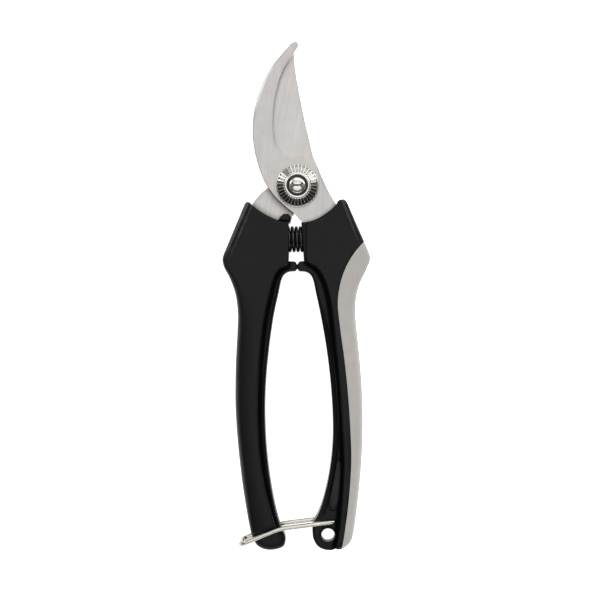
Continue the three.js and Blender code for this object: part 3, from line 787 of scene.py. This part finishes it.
HOOK_STEEL = ground_steel("blade_steel_hook", 3)
CUTTER_STEEL = ground_steel("blade_steel_cutter", 11, (0.66, 0.635, 0.615), (0.52, 0.50, 0.485))
PLATED = polished_nickel("plated_steel")
RIVET_STEEL = plain_metal("rivet_steel", (0.45, 0.44, 0.42), (0.3, 0.29, 0.28), 0.32)
BRONZE = plain_metal("bronze", (0.42, 0.28, 0.13), (0.3, 0.19, 0.08), 0.3)
DARK_STEEL = plain_metal("dark_steel", (0.05, 0.047, 0.045), (0.025, 0.023, 0.022), 0.3)
# Edge colours serve rubbed edges and the painted sheen on the facets and the web's panel floor.
HARD_BLACK = moulded("hard_black", grey(0.005), grey(0.003), grey(0.018), 0.38, 5200, 0.000012, 0.22)
SOFT_BLACK = moulded("soft_black", grey(0.0045), grey(0.0025), grey(0.08), 0.40, 4200, 0.00002, 0.24)
SOFT_GREY = moulded(
    "soft_grey", (0.65, 0.628, 0.598), (0.595, 0.572, 0.543), (0.70, 0.677, 0.648), 0.60, 4200, 0.00002, 0.25,
)
SPRING_BLACK = lacquered_spring()
NICKEL_WIRE = drawn_wire()


def finish_piece(piece, material, slot, body, *nodes):
    """Material, body, slot and the CAD nodes the piece stands for."""
    piece.data.materials.clear()
    piece.data.materials.append(material)
    if body:
        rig.ride(piece, body)
    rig.slot(piece, slot)
    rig.replaces(piece, *nodes)
    return piece


# ---- blades

BORE_R = 4.8
RIVET_HOLE_R = 1.8
GRIND_WIDTH = 5.0
GRIND_LAND = 0.5
BACK_CHAMFER = 1.0  # ground along the back of the hook
CHAMFER_SLOPE = 0.55
CHAMFER_STEEPER = 0.9  # where the hook is not ground wide
# Painted shade standing in for the contact shadow along a line: how dark it is in the corner, how far it reaches, and
# the guides beside the line.
HOOK_CONTACT_SHADE = {"most": 0.6, "reach": 1.8, "lines": (0.1, 0.5, 0.9, 1.6)}
CUTTER_CONTACT_SHADE = {"most": 0.8, "reach": 2.4, "lines": (0.1, 0.5, 1.0, 1.7, 2.4)}
SHADE_BESIDE_HOOK = {"most": 0.85, "reach": 2.6}


def painted_corner_shade(places, line, kind):
    """Painted shade in the corner along a line, standing in for the contact shadow there, fading away from it."""
    return kind["most"] * (1 - np.clip(nearest(places[:, :2], line)[0] / kind["reach"], 0, 1)) ** 1.5


def counter_blade():
    along = HOOK_BACK[:, 1]
    width = BACK_CHAMFER * (0.3 + 0.7 * ease(57, 44, along) * (1 - ease(34, 18, along)))
    back = Rounding(HOOK_BACK, width)
    other = [Rounding(HOOK_JAW, 0.1), Rounding(HOOK_TIP, 0.35), Rounding(HOOK_HEEL, 0.25)]

    def top(xy):
        share, ground = back.share(xy)
        slope = np.interp(ground, (0.3 * BACK_CHAMFER, BACK_CHAMFER), (CHAMFER_STEEPER, CHAMFER_SLOPE))
        drop = share * ground * slope
        for rounding in other:
            drop = np.maximum(drop, rounding.drop(xy))
        return HOOK_HIGH - drop

    def bottom(xy):
        return HOOK_LOW + np.maximum.reduce([r.drop(xy) for r in [Rounding(HOOK_BACK, 0.25), *other[1:]]])

    guides = both_sides(HOOK_BACK, width)
    guides += both_sides(RIGHT_ARC, *(-reach for reach in HOOK_CONTACT_SHADE["lines"])) + guides_of(other)
    loops = [joined(HOOK_BACK, HOOK_TANG, HOOK_HEEL, HOOK_JAW, HOOK_TIP), circle((0, 0), BORE_R)]
    loops.extend(circle(place, RIVET_HOLE_R, 24) for place in RIVETS[2:])
    piece = slab("counter_blade_steel", loops, top, bottom, guides)
    # Painted shade on the hook along the right cover's arc.
    mark(piece, "dirt", lambda places: painted_corner_shade(places, RIGHT_ARC, HOOK_CONTACT_SHADE))
    return finish_piece(piece, HOOK_STEEL, "blade_steel", "hook_half", "counter_blade")


def cutting_blade():
    back = Rounding(CUTTER_BACK, 0.3)
    shoulder = Rounding(CUTTER_SHOULDER, 0.25)

    def top(xy):
        return CUTTER_HIGH - np.maximum(back.drop(xy), shoulder.drop(xy))

    def bottom(xy):
        gap = nearest(xy, CUTTER_EDGE)[0]
        rise = (CUTTER_HIGH - GRIND_LAND - CUTTER_LOW) * np.clip(1 - gap / GRIND_WIDTH, 0, 1)
        rise *= ease(0, 7, xy[:, 1])
        return CUTTER_LOW + np.maximum(rise, np.maximum(back.drop(xy), shoulder.drop(xy)))

    guides = both_sides(CUTTER_EDGE, GRIND_WIDTH)
    below_pivot = HOOK_BACK[HOOK_BACK[:, 1] < 5]
    for reach in CUTTER_CONTACT_SHADE["lines"]:
        guides += [beside(below_pivot, -reach), *both_sides(LEFT_ARC, -reach)]
    guides += guides_of([back, shoulder])
    loops = [joined(CUTTER_BACK, CUTTER_TANG, CUTTER_SHOULDER, CUTTER_EDGE), circle((0, 0), BORE_R - 0.1)]
    loops.extend(circle(place, RIVET_HOLE_R, 24) for place in RIVETS[:2])
    piece = slab("cutting_blade_steel", loops, top, bottom, guides)

    # Painted shade on the cutter along the left cover's arc and beside the hook's back.
    def dirt(places):
        beside_hook = painted_corner_shade(places, HOOK_BACK, SHADE_BESIDE_HOOK) * ease(4, -3, places[:, 1])
        return np.maximum(painted_corner_shade(places, LEFT_ARC, CUTTER_CONTACT_SHADE), beside_hook)

    mark(piece, "dirt", dirt)
    return finish_piece(piece, CUTTER_STEEL, "blade_steel", "cutter_half", "cutting_blade")


# ---- handles

CROWN = 1.5  # fall of the grip faces from their crest to the outer side
CREST = 0.8  # place of the crest, from 0 on the outer side to 1 at the step
HEAD_END, GRIP_START = -34, -62  # the face is flat above, crowned below
FACET_SLOPE = 0.5
LIP = 0.6  # depth of the groove between a facet and the face of its head
LIP_LINES = (-1.25, -0.85, -0.45, 0.05, 0.35, 0.8)
LIP_DROPS = (0.2, 0.0, 0.0, 1.0, 1.0, 0.15)  # shares of LIP at those lines: a bead, then the groove
LEFT_RIDGE = ((-17.2, -5.2), (-27.4, -29))
RIGHT_RIDGE = ((17.4, -4.2), (25.4, -24.2))


def crowned(xy, outer, inner):
    """Fall of a grip face towards its outer side."""
    out, to_step = nearest(xy, outer)[0], nearest(xy, inner)[0]
    share = out / np.maximum(out + to_step, 1e-6)
    below = ease(HEAD_END, GRIP_START, xy[:, 1])
    return CROWN * below * np.clip((CREST - share) / CREST, 0, 1) ** 1.6


def facet_place(xy, ridge, side):
    """Place of each point across and along the ridge of a facet, and the ridge's length."""
    (x0, y0), (x1, y1) = ridge
    run = np.array([x1 - x0, y1 - y0])
    length = norm(run)
    run /= length
    across = ((xy[:, 0] - x0) * run[1] - (xy[:, 1] - y0) * run[0]) * side
    return across, (xy[:, 0] - x0) * run[0] + (xy[:, 1] - y0) * run[1], length


def facet(xy, ridge, side):
    """Fall of the facet along the outer side of a head."""
    across, along, length = facet_place(xy, ridge, side)
    lip = np.interp(across, LIP_LINES, LIP_DROPS) * LIP
    slope = FACET_SLOPE * np.clip(across - LIP_LINES[-1] / 2, 0, None)
    lip *= 1 - ease(length * 0.72, length * 0.98, along)
    return lip + slope * (1 - ease(length * 0.8, length * 1.05, along))


def facet_sheen(xy, ridge, side):
    """Painted sheen: the bead and the upper part of the facet are painted lighter, as if lit from the side."""
    across, along, length = facet_place(xy, ridge, side)
    bead = np.interp(across, LIP_LINES, (0, 0.8, 0.8, 0, 0, 1.3))
    return np.clip(bead, 0, 1.3) * (1 - ease(length * 0.5, length * 1.1, along))


def facet_guides(ridge, side):
    line = straight(*ridge)
    return [beside(line, side * offset) for offset in LIP_LINES]


def shell_faces(drops):
    """Front and mirrored rear height functions from functions that give a fall."""
    def top(xy):
        return FRONT - sum(drop(xy) for drop in drops)

    def bottom(xy):
        return REAR + (FRONT - top(xy))

    return top, bottom


def largest(roundings):
    return lambda xy: np.maximum.reduce([r.drop(xy) for r in roundings])


def by_height(line, ys, radii):
    """Radius for each point of a line from its y."""
    return np.interp(-line[:, 1], [-y for y in ys], radii)


def left_cover():
    outer_line = np.vstack([LEFT_OUTER, LEFT_HEAD_SIDE[1:]])
    outer = Rounding(outer_line, by_height(outer_line, (-7, -24, -40, -120, -136), (0.9, 1.0, 2.4, 2.4, 1.4)))
    roundings = [
        outer, Rounding(LEFT_CORNER, 0.9), Rounding(LEFT_ARC, 0.7), Rounding(LEFT_FACE, 0.45),
        Rounding(LEFT_STEP, 0.55), Rounding(LEFT_SHOULDER, 0.9),
    ]
    top, bottom = shell_faces([
        largest(roundings),
        lambda xy: crowned(xy, LEFT_OUTER, LEFT_STEP),
        lambda xy: facet(xy, LEFT_RIDGE, 1),
    ])
    guides = guides_of(roundings) + facet_guides(LEFT_RIDGE, 1)
    loop = joined(
        LEFT_CORNER, LEFT_ARC, LEFT_FACE, LEFT_STEP, LEFT_SHOULDER, LEFT_OUTER, LEFT_HEAD_SIDE,
    )
    piece = slab("left_cover_rubber", [loop], top, bottom, guides)
    # Rounded edges rubbed by use; painted sheen on the facet.
    mark_wear_and_sheen(piece, [outer], [lambda xy: facet_sheen(xy, LEFT_RIDGE, 1)])
    return finish_piece(piece, SOFT_BLACK, "soft_black", "cutter_half", "left_cover")


def right_shell_parts():
    """Cover and grip: one outer shell, split along the line between their colours."""
    outer = Rounding(RIGHT_OUTER, by_height(RIGHT_OUTER, (-22, -40, -120, -139), (0.9, 2.2, 2.2, 1.5)))
    roundings = [
        outer, Rounding(RIGHT_ARC, 0.7), Rounding(RIGHT_CORNER, 0.9), Rounding(RIGHT_HEAD_SIDE, 0.9),
        Rounding(RIGHT_HEAD_FACE, 0.45), Rounding(RIGHT_STEP, 0.55), Rounding(RIGHT_END, 0.9),
    ]
    seam = Rounding(GRIP_BOUNDARY, 0.14)
    top, bottom = shell_faces([
        largest([*roundings, seam]),
        lambda xy: crowned(xy, RIGHT_OUTER, RIGHT_STEP),
        lambda xy: facet(xy, RIGHT_RIDGE, -1),
    ])
    guides = guides_of([*roundings, seam]) + facet_guides(RIGHT_RIDGE, -1)
    cover_loop = joined(
        RIGHT_ARC, RIGHT_CORNER, RIGHT_HEAD_SIDE, beside(GRIP_BOUNDARY, 0.03), RIGHT_END,
        RIGHT_STEP[::-1], RIGHT_HEAD_FACE,
    )
    grip_loop = joined(beside(GRIP_BOUNDARY, -0.03)[-2:0:-1], RIGHT_OUTER)
    cover = slab("right_cover_rubber", [cover_loop], top, bottom, guides)
    grip = slab("right_grip_rubber", [grip_loop], top, bottom, guides)
    # Rounded edges rubbed by use; painted sheen on the facet.
    for piece in (cover, grip):
        mark_wear_and_sheen(piece, [outer], [lambda xy: facet_sheen(xy, RIGHT_RIDGE, -1)])
    finish_piece(cover, SOFT_BLACK, "soft_black", "hook_half", "right_cover")
    finish_piece(grip, SOFT_GREY, "soft_grey", "hook_half", "right_grip")
    return cover, grip


def core_slab(name, loops, fall, guides):
    """Core whose front and rear fall alike."""
    return slab(name, loops, lambda xy: CORE_HIGH - fall(xy), lambda xy: CORE_LOW + fall(xy), guides)


WALL = 2.4
POCKET_R = 5.5
PEG_R, PEG_TIP_R = 3.4, 2.2
LEFT_PEG_END, RIGHT_PEG_END = -1.5, -0.5
LEFT_TONGUE = np.array([(-0.9, -30.6), (0.12, -30.6), (0.12, -32.5), (-0.9, -32.5)]), 5.2, 8.2
RIGHT_TONGUE = np.array([(0.9, -30.6), (0.9, -32.5), (-0.12, -32.5), (-0.12, -30.6)]), 8.8, 11.8
CHANNEL = {"depth": 0.9, "width": 2.0}
QUARTERS = (0.0, 0.25, 0.5, 0.75, 1.0)


def barrel(name, start, end, start_radius, end_radius, sides=48):
    """Cylinder or cone along the spring's axis."""
    rings = ((start, start_radius), (end, end_radius))
    vertices = [(x, y, z) for x, r in rings for y, z in circle(SPRING_AXIS.yz, r, sides)]
    faces = [tuple(range(sides)), tuple(range(sides, 2 * sides))]
    faces += [(i, (i + 1) % sides, sides + (i + 1) % sides, sides + i) for i in range(sides)]
    return mesh_object(name, vertices, faces)


def channel(xy, step):
    """Fall of a core towards the foot of the step of its cover."""
    return CHANNEL["depth"] * (1 - ease(0, CHANNEL["width"], nearest(xy, step)[0]))


def channel_guides(step):
    return both_sides(step, *(CHANNEL["width"] * share for share in QUARTERS))


def left_core():
    inner = Rounding(LEFT_INNER, by_height(LEFT_INNER, (-33, -40, -120, -133), (0.5, 1.5, 1.5, 2.2)))
    roundings = [
        inner, Rounding(LEFT_TIP, 2.4), Rounding(LEFT_FACE, 0.4), Rounding(LEFT_STOP, 0.4),
        Rounding(LEFT_ARC, 0.4),
    ]
    guides = guides_of(roundings) + channel_guides(LEFT_STEP)

    def fall(xy):
        return np.maximum(largest(roundings)(xy), channel(xy, LEFT_STEP))

    loop = joined(
        curved((-16.9, -8.2), *LEFT_TOP),
        LEFT_FACE, LEFT_STOP, LEFT_INNER, LEFT_TIP, straight((-17.8, -136.4), (-15.6, -135.6)),
        LEFT_OUTER[4:] + (WALL, 0), np.array([(-26, -26.2), (-18.8, -9), (-16.9, -8.2)]),
    )
    piece = core_slab("left_core_plastic", [loop], fall, guides)
    pocket = barrel("pocket", SPRING_FROM - 0.3, 0.6, POCKET_R, POCKET_R)
    tongue = prism("tongue", *LEFT_TONGUE)
    weld(cut(piece, pocket), tongue, barrel("peg", SPRING_FROM - 1, LEFT_PEG_END, PEG_R, PEG_TIP_R))
    mark_wear_and_sheen(piece, roundings)
    return finish_piece(piece, HARD_BLACK, "hard_black", "cutter_half", "left_core")


PANEL_DEPTH = 0.8
PANEL_EDGE = 0.4  # run of the panel's sloping sides
# strength of the painted sheen on the floor of the sunk panel
PANEL_SHEEN = 1.2
BEVEL_FALL = 0.62  # of the bevel along the inner side of the web, for each mm of its width
GROOVE = {"width": 0.35, "depth": 0.25}
HOLE_CHAMFER = 0.3
HOLE_RIM = {"r": 3.6, "height": 0.3, "edge": 0.35}
HOLE_RELIEF = {"r": 3.7, "depth": 6}


def panel_floor_sheen(xy):
    """Painted sheen on the floor of the web's sunk panel: lighter, as if it caught more light."""
    depth = nearest(xy, closed(WEB_PANEL))[0]
    return PANEL_SHEEN * ease(PANEL_EDGE, 2 * PANEL_EDGE, depth) * within(xy, [WEB_PANEL])


def right_core():
    roundings = [
        Rounding(RIGHT_LOBE, 1.2), Rounding(RIGHT_FACE, 0.4), Rounding(RIGHT_STOP, 0.4),
        Rounding(RIGHT_ARC, 0.4),
    ]
    bevel_width = by_height(RIGHT_INNER, (-33, -50, -100, -131), (0.5, 1.3, 1.5, 1.7))
    web_hole = circle(HANG_HOLE, HANG_HOLE_R, 64)

    def fall(xy):
        gap, place = nearest(xy, RIGHT_INNER)
        width = np.interp(place, np.arange(len(bevel_width)), bevel_width)
        drop = np.maximum(largest(roundings)(xy), BEVEL_FALL * width * np.clip(1 - gap / width, 0, 1))
        across = np.abs(gap - width - GROOVE["width"]) / GROOVE["width"]
        groove = GROOVE["depth"] * np.clip(1 - across, 0, 1)
        drop = drop + groove * ease(-40, -60, xy[:, 1]) * (1 - ease(-126, -131, xy[:, 1]))
        depth = nearest(xy, closed(WEB_PANEL))[0] / PANEL_EDGE
        sunk = PANEL_DEPTH * ease(0, 1, depth) * within(xy, [WEB_PANEL])
        drop = drop + np.maximum(sunk, channel(xy, RIGHT_STEP))
        out = norm(xy - HANG_HOLE, axis=1)
        drop = drop - HOLE_RIM["height"] * (1 - ease(HOLE_RIM["r"] - HOLE_RIM["edge"], HOLE_RIM["r"], out))
        return drop + 0.25 * (1 - ease(HANG_HOLE_R, HANG_HOLE_R + HOLE_CHAMFER, out))

    groove_lines = (bevel_width + GROOVE["width"] * i for i in range(3))
    hole_edge = (HANG_HOLE_R + HOLE_CHAMFER / 2, HANG_HOLE_R + HOLE_CHAMFER)
    rim_edge = (HOLE_RIM["r"] - HOLE_RIM["edge"], HOLE_RIM["r"] - 0.17, HOLE_RIM["r"])
    guides = guides_of(roundings) + both_sides(RIGHT_INNER, *groove_lines)
    guides += both_sides(closed(WEB_PANEL), *(PANEL_EDGE * share for share in QUARTERS))
    guides += [closed(circle(HANG_HOLE, radius, 64)) for radius in (*hole_edge, *rim_edge)]
    guides += channel_guides(RIGHT_STEP)
    last = int(np.argmax(RIGHT_OUTER[:, 1] < -134))
    loop = joined(
        straight((1.6, -14.3), (3.4, -14.3)), RIGHT_ARC[:-3], straight((15.2, -8.4), (17.6, -8.6)),
        RIGHT_OUTER[:last] - (WALL, 0), straight((17.4, -139.6), (15, -141.6), (13.2, -142.1)),
        RIGHT_LOBE[6:], RIGHT_INNER, RIGHT_STOP, RIGHT_FACE,
    )
    piece = core_slab("right_core_plastic", [loop, web_hole], fall, guides)
    pocket = barrel("pocket", -0.6, SPRING_TO + 0.3, POCKET_R, POCKET_R)
    low = CORE_LOW + HOLE_RELIEF["depth"]
    relief = bar("relief", HOLE_RELIEF["r"], REAR, low, 64, HANG_HOLE)
    tongue = prism("tongue", *RIGHT_TONGUE)
    weld(cut(piece, pocket, relief), tongue, barrel("peg", RIGHT_PEG_END, SPRING_TO + 1, PEG_TIP_R, PEG_R))
    # Rounded edges rubbed by use; painted sheen on the panel floor.
    mark_wear_and_sheen(piece, [*roundings, Rounding(RIGHT_INNER, bevel_width)], [panel_floor_sheen])
    return finish_piece(piece, HARD_BLACK, "hard_black", "hook_half", "right_core")


STEM_R = 1.2  # of the peg that holds the bumper in the blade


def bumper():
    corners = [
        (-7.4, -13.4), (-6.7, -12.1), (-5.4, -11), (-3.4, -11), (-2.3, -12.5), (-3.0, -14.2), (-5.9, -13.85),
        (-7.4, -13.4),
    ]
    line = straight(*corners)
    chamfer = 0.7

    def top(xy):
        return BUMPER_HIGH - chamfer * np.clip(1 - nearest(xy, line)[0] / chamfer, 0, 1)

    piece = slab(
        "stop_bumper_plastic", [joined(line)], top, level(HOOK_LOW), both_sides(line, chamfer), 0.6,
    )
    weld(piece, bar("stem", STEM_R, CUTTER_LOW + 0.3, HOOK_LOW + 1, 24, (-4.9, -12.2)))
    mark_wear_and_sheen(piece, [Rounding(line, chamfer)])
    return finish_piece(piece, SOFT_BLACK, "soft_black", "cutter_half", "stop_bumper")


# ---- pivot

TEETH = 33
TOOTH_DEPTH = 0.65
BAND = (5.3, 8.0)
CUP_R = 4.11
LEAST_SHADE = 0.45  # painted shade in the grooves under the glare, as a share of the others
SHADE_FADE = (math.sin(math.radians(50)), -0.2)  # painted shade fades in from the grooves under the glare to the fully shaded ones


def groove_share(radius, angle):
    """1 in the radial grooves of the nut's conical band, 0 on the ridges between them."""
    across = np.abs((angle * TEETH / (2 * math.pi)) % 1 - 0.5) * 2
    ends = ease(BAND[0] - 0.05, BAND[0] + 0.3, radius) * (1 - ease(BAND[1] - 0.25, BAND[1] + 0.05, radius))
    return (1 - ease(0.42, 0.66, across)) * ends


def serration(radius, angle):
    """Height of the nut's surface over its cone."""
    return -TOOTH_DEPTH * float(groove_share(np.array(radius), np.array(angle)))


def pivot_nut():
    top, rim = DISC_HIGH, DISC_LOW + 0.6
    cone = (top - 0.6, rim + 0.1)
    band = [(r, float(np.interp(r, BAND, cone))) for r in np.linspace(BAND[1], BAND[0], 12)]
    profile = [
        (3.3, DISC_LOW), (DISC_R - 0.15, DISC_LOW), (DISC_R, DISC_LOW + 0.15), (DISC_R, rim - 0.3),
        (DISC_R - 0.08, rim - 0.1), (DISC_R - 0.25, rim), (BAND[1] + 0.12, rim + 0.06), *band,
        (5.05, top - 0.58), (4.93, top - 0.5), (4.9, top - 0.2), (4.83, top - 0.06), (4.7, top),
        (4.3, top), (4.16, top - 0.06), (4.1, top - 0.2), (4.1, top - 1.2), (4.0, top - 1.3),
        (3.4, top - 1.3), (3.3, top - 1.4),
    ]
    piece = turned("pivot_nut_nickel", profile, TEETH * 14, (0, 0), serration)

    # Painted shade in the grooves and in the cup; less of it in the grooves towards the top, where the glare falls.
    def dirt(places):
        radius, angle = norm(places[:, :2], axis=1), np.arctan2(places[:, 1], places[:, 0])
        cup = (radius < CUP_R) & (places[:, 2] < top - 0.3)
        shaded_share = LEAST_SHADE + (1 - LEAST_SHADE) * ease(*SHADE_FADE, np.sin(angle + math.radians(10)))
        return np.maximum(groove_share(radius, angle) * shaded_share, cup) * (places[:, 2] > DISC_LOW + 0.05)

    mark(piece, "dirt", dirt)
    return finish_piece(piece, PLATED, "plated_steel", "hook_half", "pivot_disc")


DOME = {"r": 3.2, "rise": 0.95, "under": 1.3}
SHANK_R = 3
SLOT_DEPTH = 0.4
SLOT_LINES = [
    straight((-1.3, 0), (1.3, 0)), straight((1.25, 0), (2.0, 0.75)), straight((1.25, 0), (2.0, -0.75)),
    straight((-1.25, 0), (-2.0, 0.75)), straight((-1.25, 0), (-2.0, -0.75)),
]


def slot_share(xy):
    """1 in the slot of the dome, whose ends fork, and 0 beside it."""
    gap = np.minimum.reduce([nearest(xy, line)[0] for line in SLOT_LINES])
    return 1 - ease(0.17, 0.3, gap)


def pivot_bolt():
    flats, head_top = 13, BOLT_LOW + 4
    corner = flats / math.sqrt(3)
    turns = [math.pi / 3 * i + math.pi / 6 for i in range(6)]
    hexagon = closed(np.array([(corner * math.cos(turn), corner * math.sin(turn)) for turn in turns]))
    line = straight(*hexagon)

    def bottom(xy):
        out = norm(xy, axis=1)
        return BOLT_LOW + np.clip(out - flats / 2 + 0.1, 0, None) * 0.55

    guides = [closed(circle((0, 0), flats / 2 - inset, 96)) for inset in (0.1, 0.6)]
    piece = slab("pivot_bolt_nickel", [joined(line)], level(head_top), bottom, guides, 0.9)
    neck = BOLT_HIGH - DOME["under"]
    shank = bar("shank", SHANK_R, head_top - 0.5, neck + 0.1, 96)

    def dome_top(xy):
        out = norm(xy, axis=1) / (DOME["r"] * 1.005)
        return BOLT_HIGH - DOME["rise"] * (1 - np.sqrt(1 - out**2)) - SLOT_DEPTH * slot_share(xy)

    rings = [closed(circle((0, 0), DOME["r"] * share, 96)) for share in (0.995, 0.98, 0.95, 0.9, 0.84)]
    dome = slab("dome", [circle((0, 0), DOME["r"], 96)], dome_top, level(neck), rings, 0.11)
    weld(piece, shank, dome)
    # Painted shade in the dome's slot.
    mark(piece, "dirt", lambda places: slot_share(places[:, :2]) * (places[:, 2] > neck))
    return finish_piece(piece, PLATED, "plated_steel", "hook_half", "pivot_bolt")


def retaining_ring():
    profile = [(3.3, RING_LOW), (3.8, RING_LOW), (3.85, RING_LOW + 0.1), (3.8, RING_HIGH), (3.35, RING_HIGH)]
    piece = turned("retaining_ring_steel", profile)
    return finish_piece(piece, DARK_STEEL, "dark_steel", "hook_half", "lock_ring")


# ---- spring and bail

SPRING_WIRE_R = 0.6
SPRING_R = 4.6
SPRING_TURNS = 10
SPRING_SEAT = 1.6  # length at each end that stays with its head


def coil_spring():
    steps = 40 * SPRING_TURNS
    share = np.linspace(0, 1, steps + 1)
    angle = 2 * math.pi * SPRING_TURNS * share
    x = SPRING_FROM + SPRING_WIRE_R + (SPRING_TO - SPRING_FROM - 2 * SPRING_WIRE_R) * share
    path = np.column_stack([
        x, SPRING_AXIS.y + SPRING_R * np.cos(angle), SPRING_AXIS.z + SPRING_R * np.sin(angle),
    ])
    piece = tube("coil_spring_wire", path, SPRING_WIRE_R, 16)
    finish_piece(piece, SPRING_BLACK, "spring_black", None, "return_spring")
    seats = (SPRING_TO - SPRING_SEAT, SPRING_FROM + SPRING_SEAT)
    ends = [(x * MM, SPRING_AXIS.y * MM, SPRING_AXIS.z * MM) for x in seats]
    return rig.blend(piece, "hook_half", "cutter_half", start=ends[0], end=ends[1])


BAIL_WIRE_R = 0.9
BAIL_PIVOT, BAIL_BEND, BAIL_END = (14.5, -130.8), (-7, -133.5), (-21.9, -139.6)
ELBOW, SLIGHT, BOW = 1.8, 3.0, 2.8
BAIL_PIN = 4
BAIL_FLANK_SHADE = 0.85  # darkness of the painted shade on the wire's upright flanks
WIRE_STEP = 0.8


def bent(stops, radii):
    """Straight runs joined by rounded corners."""
    stops = [np.array(stop, float) for stop in stops]
    points = [stops[0]]

    def run_to(end):
        start = points[-1]
        span = max(2, int(norm(end - start) / WIRE_STEP))
        points.extend(start + (end - start) * (i / span) for i in range(1, span + 1))

    for before, at, after, radius in zip(stops, stops[1:], stops[2:], radii):
        enter = at + (before - at) / norm(before - at) * radius
        leave = at + (after - at) / norm(after - at) * radius
        run_to(enter)
        for t in np.linspace(0, 1, 15)[1:]:
            points.append(enter * (1 - t) ** 2 + 2 * at * t * (1 - t) + leave * t**2)
    run_to(stops[-1])
    return points


def wire_bail():
    top, bottom = BAIL_HIGH - BAIL_WIRE_R, BAIL_LOW + BAIL_WIRE_R
    stops = [
        (*BAIL_PIVOT, top - BAIL_PIN), (*BAIL_PIVOT, top), (*BAIL_BEND, top), (*BAIL_END, top),
        (*BAIL_END, bottom), (*BAIL_BEND, bottom), (*BAIL_PIVOT, bottom), (*BAIL_PIVOT, bottom + BAIL_PIN),
    ]
    path = bent(stops, (ELBOW, SLIGHT, BOW, BOW, SLIGHT, ELBOW))
    piece = tube("wire_bail_nickel", path, BAIL_WIRE_R, 24)
    upright = np.abs([v.normal.z for v in piece.data.vertices])
    # Painted shade on the flanks, where the normals lie flat.
    mark(piece, "dull", lambda places: BAIL_FLANK_SHADE * (1 - ease(0.5, 0.85, upright)))
    return finish_piece(piece, NICKEL_WIRE, "nickel_wire", "bail", "lock_bail")


# ---- CAD nodes that stay

def keep_nodes():
    looks = [
        (["pivot_bush"], BRONZE, "bronze"),
        (["wave_washer"], DARK_STEEL, "dark_steel"),
        (["rear_washer"], PLATED, "plated_steel"),
        (RIVET_NODES, RIVET_STEEL, "rivet_steel"),
    ]
    for names, material, slot in looks:
        for name in names:
            node = frame["nodes"][name]
            for i in range(len(node.material_slots)):
                node.material_slots[i].material = material
            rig.slot(node, slot)


# ---- floor, lights, camera

FLOOR_REACH = 4.0  # metres
FLOOR_GAP = 0.0002  # metres
CAMERA_OVER = 0.640  # metres above the middle of the handles
CAMERA_FIELD = 0.2358  # width in metres of the view at that plane
CAMERA_AIM = (1.061, -44.6)
SENSOR = 36.0
LIGHT_AIM = (0, -0.045, 0)
SKY = [("Z", 0.84, 0.98, 0.0, 1.26), ("Y", -0.5, 0.3, 0.08, 0.3)]  # axis, from, to, brightness there
SOFTBOXES = [  # name, place, size, brightness
    ("left", (-0.75, 0.45, 0.55), (0.36, 0.42), 2.8),
    ("right", (0.75, 0.45, 0.55), (0.36, 0.42), 2.8),
    ("front", (0, -0.85, 0.5), (1.4, 0.3), 1.2),
    ("key", (0.15, 0.75, 0.8), (1.2, 0.7), 1.15),
]


def floor():
    mesh = bpy.data.meshes.new("floor")
    corners = [(x * FLOOR_REACH, y * FLOOR_REACH, 0) for x, y in ((-1, -1), (1, -1), (1, 1), (-1, 1))]
    mesh.from_pydata(corners, [], [(0, 1, 2, 3)])
    mesh.materials.append(pale_floor())
    made = placed("floor", mesh)
    made.location.z = CAD_BOX[0].z - FLOOR_GAP
    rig.stage(made)


def softbox(name, place, size, radiance):
    """Rectangular light of a given brightness, turned to the object."""
    light = bpy.data.lights.new(name, "AREA")
    light.shape = "RECTANGLE"
    light.size, light.size_y = size
    light.energy = radiance * math.pi * size[0] * size[1]
    made = placed(name, light)
    made.location = place
    made.rotation_mode = "QUATERNION"
    made.rotation_quaternion = (Vector(LIGHT_AIM) - Vector(place)).to_track_quat("-Z", "Y")


def studio():
    world = bpy.data.worlds.new("studio")
    world.use_nodes = True
    tree = world.node_tree
    background = tree.nodes["Background"]
    background.inputs["Color"].default_value = (1, 1, 1, 1)
    place = add_node(tree, "TexCoord").outputs["Generated"]
    along = add_node(tree, "SeparateXYZ", {"Vector": place}).outputs
    ramps = [map_range(tree, along[axis], *limits, interpolation_type="SMOOTHSTEP") for axis, *limits in SKY]
    brightest = add_node(tree, "Math", dict(enumerate(ramps)), operation="MAXIMUM")
    tree.links.new(brightest.outputs["Value"], background.inputs["Strength"])
    bpy.context.scene.world = world
    for name, place, size, radiance in SOFTBOXES:
        softbox(name, place, size, radiance)
    view = bpy.context.scene.view_settings
    view.view_transform = "Standard"
    view.look = "None"


def camera():
    made = placed("camera", bpy.data.cameras.new("camera"))
    made.data.sensor_width = SENSOR
    made.data.lens = SENSOR * CAMERA_OVER / CAMERA_FIELD
    made.location = (CAMERA_AIM[0] * MM, CAMERA_AIM[1] * MM, (REAR + FRONT) / 2 * MM + CAMERA_OVER)
    bpy.context.scene.camera = made


counter_blade()
cutting_blade()
left_cover()
right_shell_parts()
left_core()
right_core()
bumper()
pivot_nut()
pivot_bolt()
retaining_ring()
coil_spring()
wire_bail()
keep_nodes()
floor()
studio()
camera()

with open("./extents.json", "w") as size_file:
    json.dump({"cad": [list(c) for c in CAD_BOX], "visual": [list(c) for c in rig.bounds()]}, size_file)
